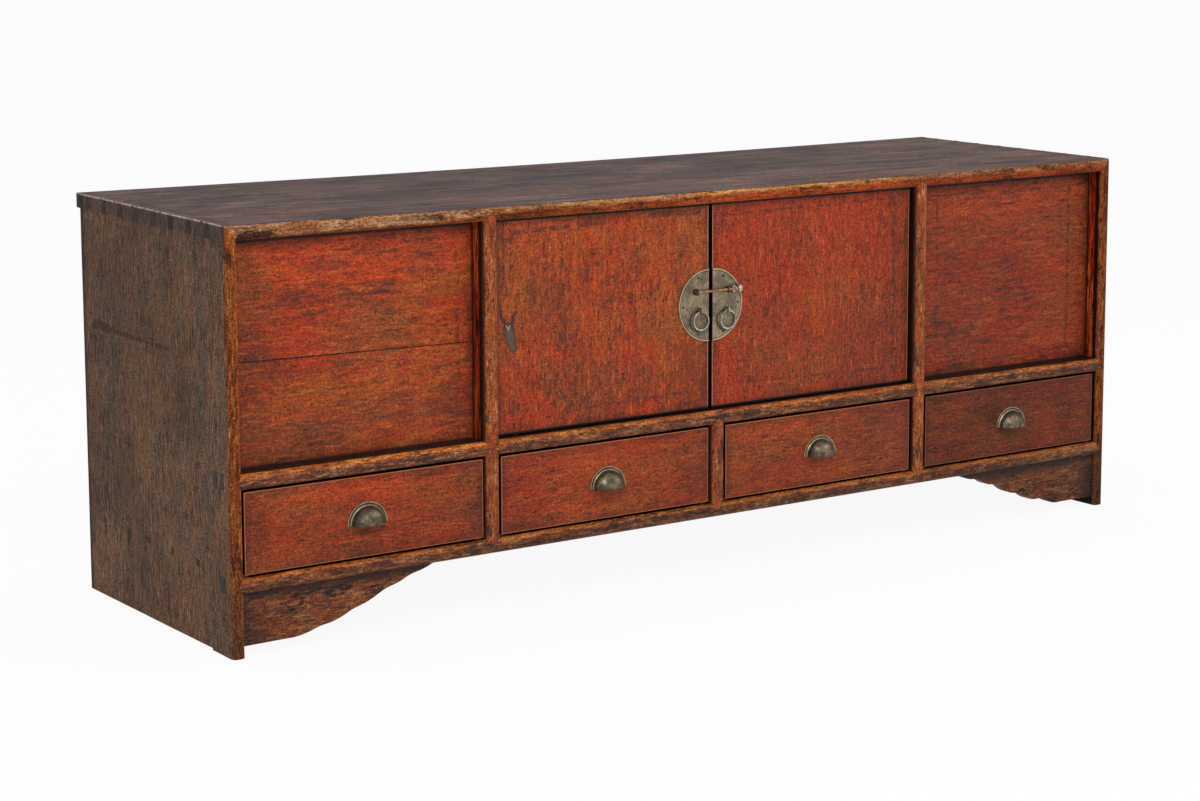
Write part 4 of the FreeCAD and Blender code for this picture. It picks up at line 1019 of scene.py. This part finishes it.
# The left post carries a painted glow and shade on its recess side.
for node, seed, painted_recess_light_depth, painted_light, hollow in (("left_post", 11.3, 0.03, 1.02, 0.009),
                                          ("right_post", 14.3, 0.0, 1.06, 0.0065),
                                          ("centre_post", 17.3, 0.0, 0.94, 0.009)):
    # Each post has a painted light factor: lighter or darker for how light falls on it.
    low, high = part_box(node)
    eased(node, 0.7 * MM, frame_wood(
        f"{node}_wood", "z", seed, painted_recess_light_depth=painted_recess_light_depth, painted_light=painted_light, hollow=hollow,
        tones=((136, 56, 22), (156, 80, 30)), sides=(low.x, high.x)))
# The bottom rail is painted brighter towards its left end and darker towards the middle, as painted
# light.
for node, seed, painted_light, painted_light_falloff in (("left_mid_rail", 21.3, 1.18, None),
                                ("centre_mid_rail", 24.3, 0.99, None),
                                ("right_mid_rail", 27.3, 0.9, None),
                                ("bottom_rail", 30.3, 0.84, (-0.7, -0.1, 1.2, 0.92))):
    # Each rail has a painted light factor: lighter or darker for how light falls on it.
    low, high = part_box(node)
    eased(node, 0.7 * MM, frame_wood(
        f"{node}_wood", "x", seed, span=(low.z + 0.002, high.z - 0.001), painted_light=painted_light, painted_light_falloff=painted_light_falloff))
# Cracks, bands and marks: where each starts and ends as (x, z) and its radius, then a band's
# amount or a mark's tone. Washes: centre, reach, tone and amount.
# Each panel has a painted light factor for how light falls on it.
PANELS = {
    "left_front_panel": dict(
        painted_light=0.97, tones=((162, 54, 22), (154, 80, 32)),
        cracks=(((-0.83, 0.4072), (-0.6056, 0.4037), 0.0011),
                ((-0.6056, 0.4037), (-0.4, 0.4003), 0.0008)),
        bands=(((-0.446, 0.55), (-0.446, 0.28), 0.005, 0.5),),
        # The first wash, bright along the top, is painted light, lifting the shade under the top's
        # overhang.
        washes=(((-0.6, 0.535), (0.2, 0.045), (200, 76, 32), 0.7),
                ((-0.78, 0.4), (0.05, 0.16), (104, 48, 28), 0.65),
                ((-0.72, 0.29), (0.15, 0.05), (110, 56, 34), 0.55),
                ((-0.58, 0.43), (0.08, 0.06), (116, 72, 40), 0.4),
                ((-0.45, 0.3), (0.05, 0.07), (104, 48, 30), 0.5))),
    "right_front_panel": dict(
        painted_light=0.81, tones=((148, 48, 24), (144, 68, 34)),
        bands=(((0.462, 0.554), (0.462, 0.272), 0.0034, 0.75),
               ((0.462, 0.556), (0.756, 0.553), 0.0032, 0.7),
               ((0.755, 0.553), (0.755, 0.28), 0.004, 0.75),
               ((0.462, 0.272), (0.755, 0.28), 0.003, 0.6)),
        # The first wash, bright along the top, is painted light, lifting the shade under the top's
        # overhang.
        washes=(((0.6, 0.54), (0.2, 0.04), (184, 72, 34), 0.6),
                ((0.5, 0.35), (0.08, 0.12), (118, 58, 34), 0.35))),
}
for index, (node, look) in enumerate(PANELS.items()):
    low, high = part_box(node)
    seen = (Vector((low.x + 0.0062, low.y, low.z + 0.0062)),
            Vector((high.x - 0.0062, high.y, 0.5732)))
    eased(node, 0.5 * MM, lacquer(f"{node}_lacquer", "x", 31.3 + 4 * index, seen, pale=0.0,
                                  dirt=0.6, sides=False, rim_shadow_width=0.004, drawn=2.4, **look))

BARE, DARKER, CHIP = (92, 78, 66), (62, 50, 42), (170, 148, 132)
# Each door has a painted light factor for how light falls on it.
DOORS = {
    "left_door": dict(
        painted_light=1.02, redness=0.55, dirt=0.6, flame=0.42,
        marks=(((-0.3816, 0.4456), (-0.3807, 0.4344), 0.0026, DARKER),
               ((-0.3807, 0.4344), (-0.3738, 0.4231), 0.0034, DARKER),
               ((-0.3556, 0.4388), (-0.3614, 0.4326), 0.0026, DARKER),
               ((-0.3614, 0.4326), (-0.3622, 0.4243), 0.0034, DARKER),
               ((-0.3688, 0.4165), (-0.3662, 0.4085), 0.0118, DARKER),
               ((-0.3662, 0.4085), (-0.3636, 0.3965), 0.0104, DARKER),
               ((-0.3636, 0.3965), (-0.3606, 0.3855), 0.0076, DARKER),
               ((-0.3676, 0.4125), (-0.3654, 0.4065), 0.0092, BARE),
               ((-0.3654, 0.4065), (-0.3634, 0.396), 0.0086, BARE),
               ((-0.3634, 0.396), (-0.361, 0.387), 0.0056, BARE),
               ((-0.3722, 0.4212), (-0.3704, 0.4176), 0.0014, CHIP),
               ((-0.3692, 0.418), (-0.3682, 0.4142), 0.0016, CHIP),
               ((-0.3658, 0.4206), (-0.3668, 0.4168), 0.0013, CHIP)),
        bands=(((-0.375, 0.556), (-0.2, 0.56), 0.004, 0.8),
               ((-0.3645, 0.562), (-0.364, 0.5), 0.002, 0.9),
               ((-0.3775, 0.57), (-0.3765, 0.49), 0.0034, 0.7),
               ((-0.306, 0.535), (-0.305, 0.5), 0.005, 0.9),
               ((-0.14, 0.566), (-0.03, 0.564), 0.006, 0.8),
               ((-0.33, 0.51), (-0.325, 0.45), 0.008, 0.6),
               ((-0.25, 0.285), (-0.05, 0.289), 0.003, 0.8)),
        washes=(((-0.2, 0.3), (0.11, 0.05), (116, 56, 34), 0.5),
                ((-0.05, 0.31), (0.06, 0.09), (104, 48, 28), 0.6),
                ((-0.3, 0.44), (0.06, 0.07), (116, 62, 36), 0.45),
                ((-0.33, 0.54), (0.08, 0.04), (176, 78, 32), 0.4))),
    "right_door": dict(
        painted_light=0.96, redness=0.9, dirt=0.35, flame=0.15,
        bands=(((0.02, 0.556), (0.36, 0.562), 0.003, 0.6),
               ((0.358, 0.56), (0.356, 0.29), 0.004, 0.8),
               ((0.05, 0.293), (0.34, 0.287), 0.003, 0.7)),
        washes=(((0.37, 0.42), (0.06, 0.22), (108, 50, 32), 0.5),
                ((0.28, 0.33), (0.12, 0.1), (116, 56, 36), 0.5),
                ((0.1, 0.35), (0.08, 0.1), (120, 60, 38), 0.4),
                ((0.15, 0.53), (0.14, 0.05), (164, 66, 36), 0.4))),
}
for index, (node, look) in enumerate(DOORS.items()):
    low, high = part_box(node)
    seen = Vector((low.x, low.y, low.z + 0.0145)), Vector((high.x, high.y, high.z - 0.014))
    eased(node, 0.8 * MM, lacquer(f"{node}_lacquer", "z", 41.3 + 4 * index, seen, pale=0.7,
                                  lying_arris=False, **look))

# Each drawer: a painted light factor for how light falls on its front, then its washes of colour.
DRAWERS = (
    (0.88, (((-0.62, 0.212), (0.13, 0.028), (192, 66, 34), 0.6),
            ((-0.795, 0.17), (0.035, 0.08), (100, 46, 28), 0.6),
            ((-0.43, 0.145), (0.035, 0.05), (100, 50, 32), 0.55))),
    (0.91, (((-0.24, 0.21), (0.12, 0.03), (176, 70, 34), 0.4),
            ((-0.03, 0.15), (0.05, 0.06), (104, 50, 32), 0.55),
            ((-0.28, 0.13), (0.06, 0.02), (190, 84, 36), 0.4))),
    (0.86, (((0.34, 0.17), (0.12, 0.08), (112, 58, 36), 0.5),
            ((0.1, 0.215), (0.1, 0.025), (180, 72, 34), 0.45))),
    (0.52, (((0.6, 0.17), (0.1, 0.06), (116, 60, 36), 0.45),
            ((0.7, 0.21), (0.1, 0.03), (126, 52, 34), 0.4))),
)
for number, (painted_light, washes) in enumerate(DRAWERS, 1):
    node = f"drawer_{number}_front"
    eased(node, 0.9 * MM, lacquer(f"{node}_lacquer", "x", 51.3 + 4 * number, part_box(node),
                                  painted_light=painted_light, dirt=0.3, drawn=2.4, pale=0.6, washes=washes,
                                  tones=((152, 54, 24), (146, 76, 34))))
# Each bracket has a painted light factor, the right one painted darker as painted shade.
for node, sign, swell, seed, painted_light in (("left_bracket", 1, 0.035, 81.3, 0.95),
                                       ("right_bracket", -1, 0.085, 85.3, 0.64)):
    bracket(node, sign, swell, frame_wood(
        f"{node}_wood", "x", seed, ridge=BRACKET_FRONT, painted_light=painted_light, worn=0.3, dirt=1.0,
        shadow=(0.803, 0.09), tones=((92, 44, 28), (128, 70, 42))))


def dressed(wood, nodes):
    """Give CAD nodes that keep their own mesh a wood."""
    for node in nodes:
        NODES[node].data.materials.clear()
        NODES[node].data.materials.append(wood)


dressed(plain_wood("inside_x", "x", 91.3),
        ("cupboard_floor", "bottom_board", "lower_back_board", "upper_back_board",
         "left_door_battens", "right_door_battens"))
dressed(plain_wood("inside_y", "y", 91.3), ("left_guide", "centre_guide", "right_guide"))
for number in range(1, 5):
    for grain, axis, seed, parts in (("sides", "y", 95.3, ("left_side", "right_side")),
                                     ("cross", "x", 99.3, ("bottom", "back"))):
        wood = plain_wood(f"drawer_{number}_{grain}", axis, seed + number, tone=(150, 116, 80))
        dressed(wood, [f"drawer_{number}_{part}" for part in parts])

plate_low, plate_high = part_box("left_lock_plate")
plate_z = (plate_low.z + plate_high.z) / 2
plate_radius = (plate_high.z - plate_low.z) / 2
collar_front = plate_low.y - 0.5 * MM
pin_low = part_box("lock_pin")[0].x
BLACK, DEEP_IRON = (20, 17, 15), (26, 21, 19)
painted_ring_edge_shade, painted_ring_shadows = [], []
for side in ("left", "right"):
    low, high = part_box(f"{side}_ring")
    spot, reach = ((low.x + high.x) / 2, (low.z + high.z) / 2), (high.x - low.x) / 2
    # Painted shade: a dark line along the outer and the inner edge of each ring.
    painted_ring_edge_shade += [(spot, reach, 0.0005, BLACK, 0.95), (spot, reach - 0.0038, 0.0005, BLACK, 0.95)]
    # A painted shadow of each ring on the plate, a little left of and below it.
    painted_ring_shadows.append(((spot[0] - 0.0012, spot[1] - 0.0008), reach, 0.0014, (60, 51, 40), 0.75))


# Painted shade on the parts of an eye at the plate's face and behind it.
def painted_collar_shade(tone):
    return (("y", collar_front - 0.001, collar_front, tone, 0.9),)


# The rings and the pin get painted shade on their sides through the outline amount.
iron = old_brass("ring_iron", 131.3, (206, 198, 186), (136, 128, 116), BLACK, rough=(0.26, 0.4),
                 rings=painted_ring_edge_shade, outline=0.95)
dark_iron = old_brass("nail_iron", 136.3, (92, 76, 62), (62, 50, 42), DEEP_IRON, rough=(0.4, 0.6))
eye_brass = old_brass("eye_brass", 138.3, (196, 176, 136), (140, 122, 94), (56, 46, 36),
                      rough=(0.3, 0.45), zones=painted_collar_shade((24, 19, 16)))
eye_iron = old_brass("eye_iron", 139.3, (124, 104, 86), (84, 70, 58), DEEP_IRON,
                     zones=painted_collar_shade((22, 18, 16)))
copper = old_brass("pin_copper", 141.3, (196, 150, 116), (134, 94, 68), (40, 29, 23),
                   rough=(0.24, 0.42), outline=0.7,
                   zones=(("x", pin_low + 0.0625, pin_low + 0.064, (132, 124, 112), 0.8),
                          ("x", pin_low + 0.073, pin_low + 0.0745, (196, 170, 146), 0.7)))
for side, sign in (("left", -1), ("right", 1)):
    low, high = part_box(f"{side}_lock_plate")
    spot = (high.x if sign < 0 else low.x, plate_z)
    rim = [(spot, plate_radius - 0.0011, 0.0004, (204, 190, 160), 0.7),
           (spot, plate_radius - 0.0032, 0.0005, (58, 48, 38), 0.6)]
    lock_plate(side, sign, old_brass(
        f"{side}_plate_brass", 111.3 + sign, (156, 138, 108), (108, 94, 75), (60, 50, 40),
        rough=(0.38, 0.56), metal=(0.35, 0.7), scale=40, rings=rim + painted_ring_shadows))
    plate_nails(side, sign, dark_iron)
    wire_eye(f"{side}_lock_eye", eye_iron, wire=1.12)
    wire_eye(f"{side}_ring_eye", eye_brass)
    ring_pull(f"{side}_ring", iron)
lock_pin(copper)
for number in range(1, 5):
    low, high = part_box(f"drawer_{number}_pull")
    spot = ((low.x + high.x) / 2, low.z)
    cup_pull(number, old_brass(
        f"drawer_{number}_pull_brass", 121.3 + 3 * number, (128, 114, 92), (70, 61, 49),
        (26, 22, 19), rough=(0.24, 0.44), metal=(0.6, 0.95), green=0.6,
        rings=((spot, 0.0311, 0.0007, (176, 158, 124), 0.5),
               (spot, 0.0268, 0.0005, (188, 170, 132), 0.55),
               # A dark line in the groove between flange and bead: dirt in it and painted shade.
               (spot, 0.0286, 0.0004, (36, 32, 26), 0.6))))
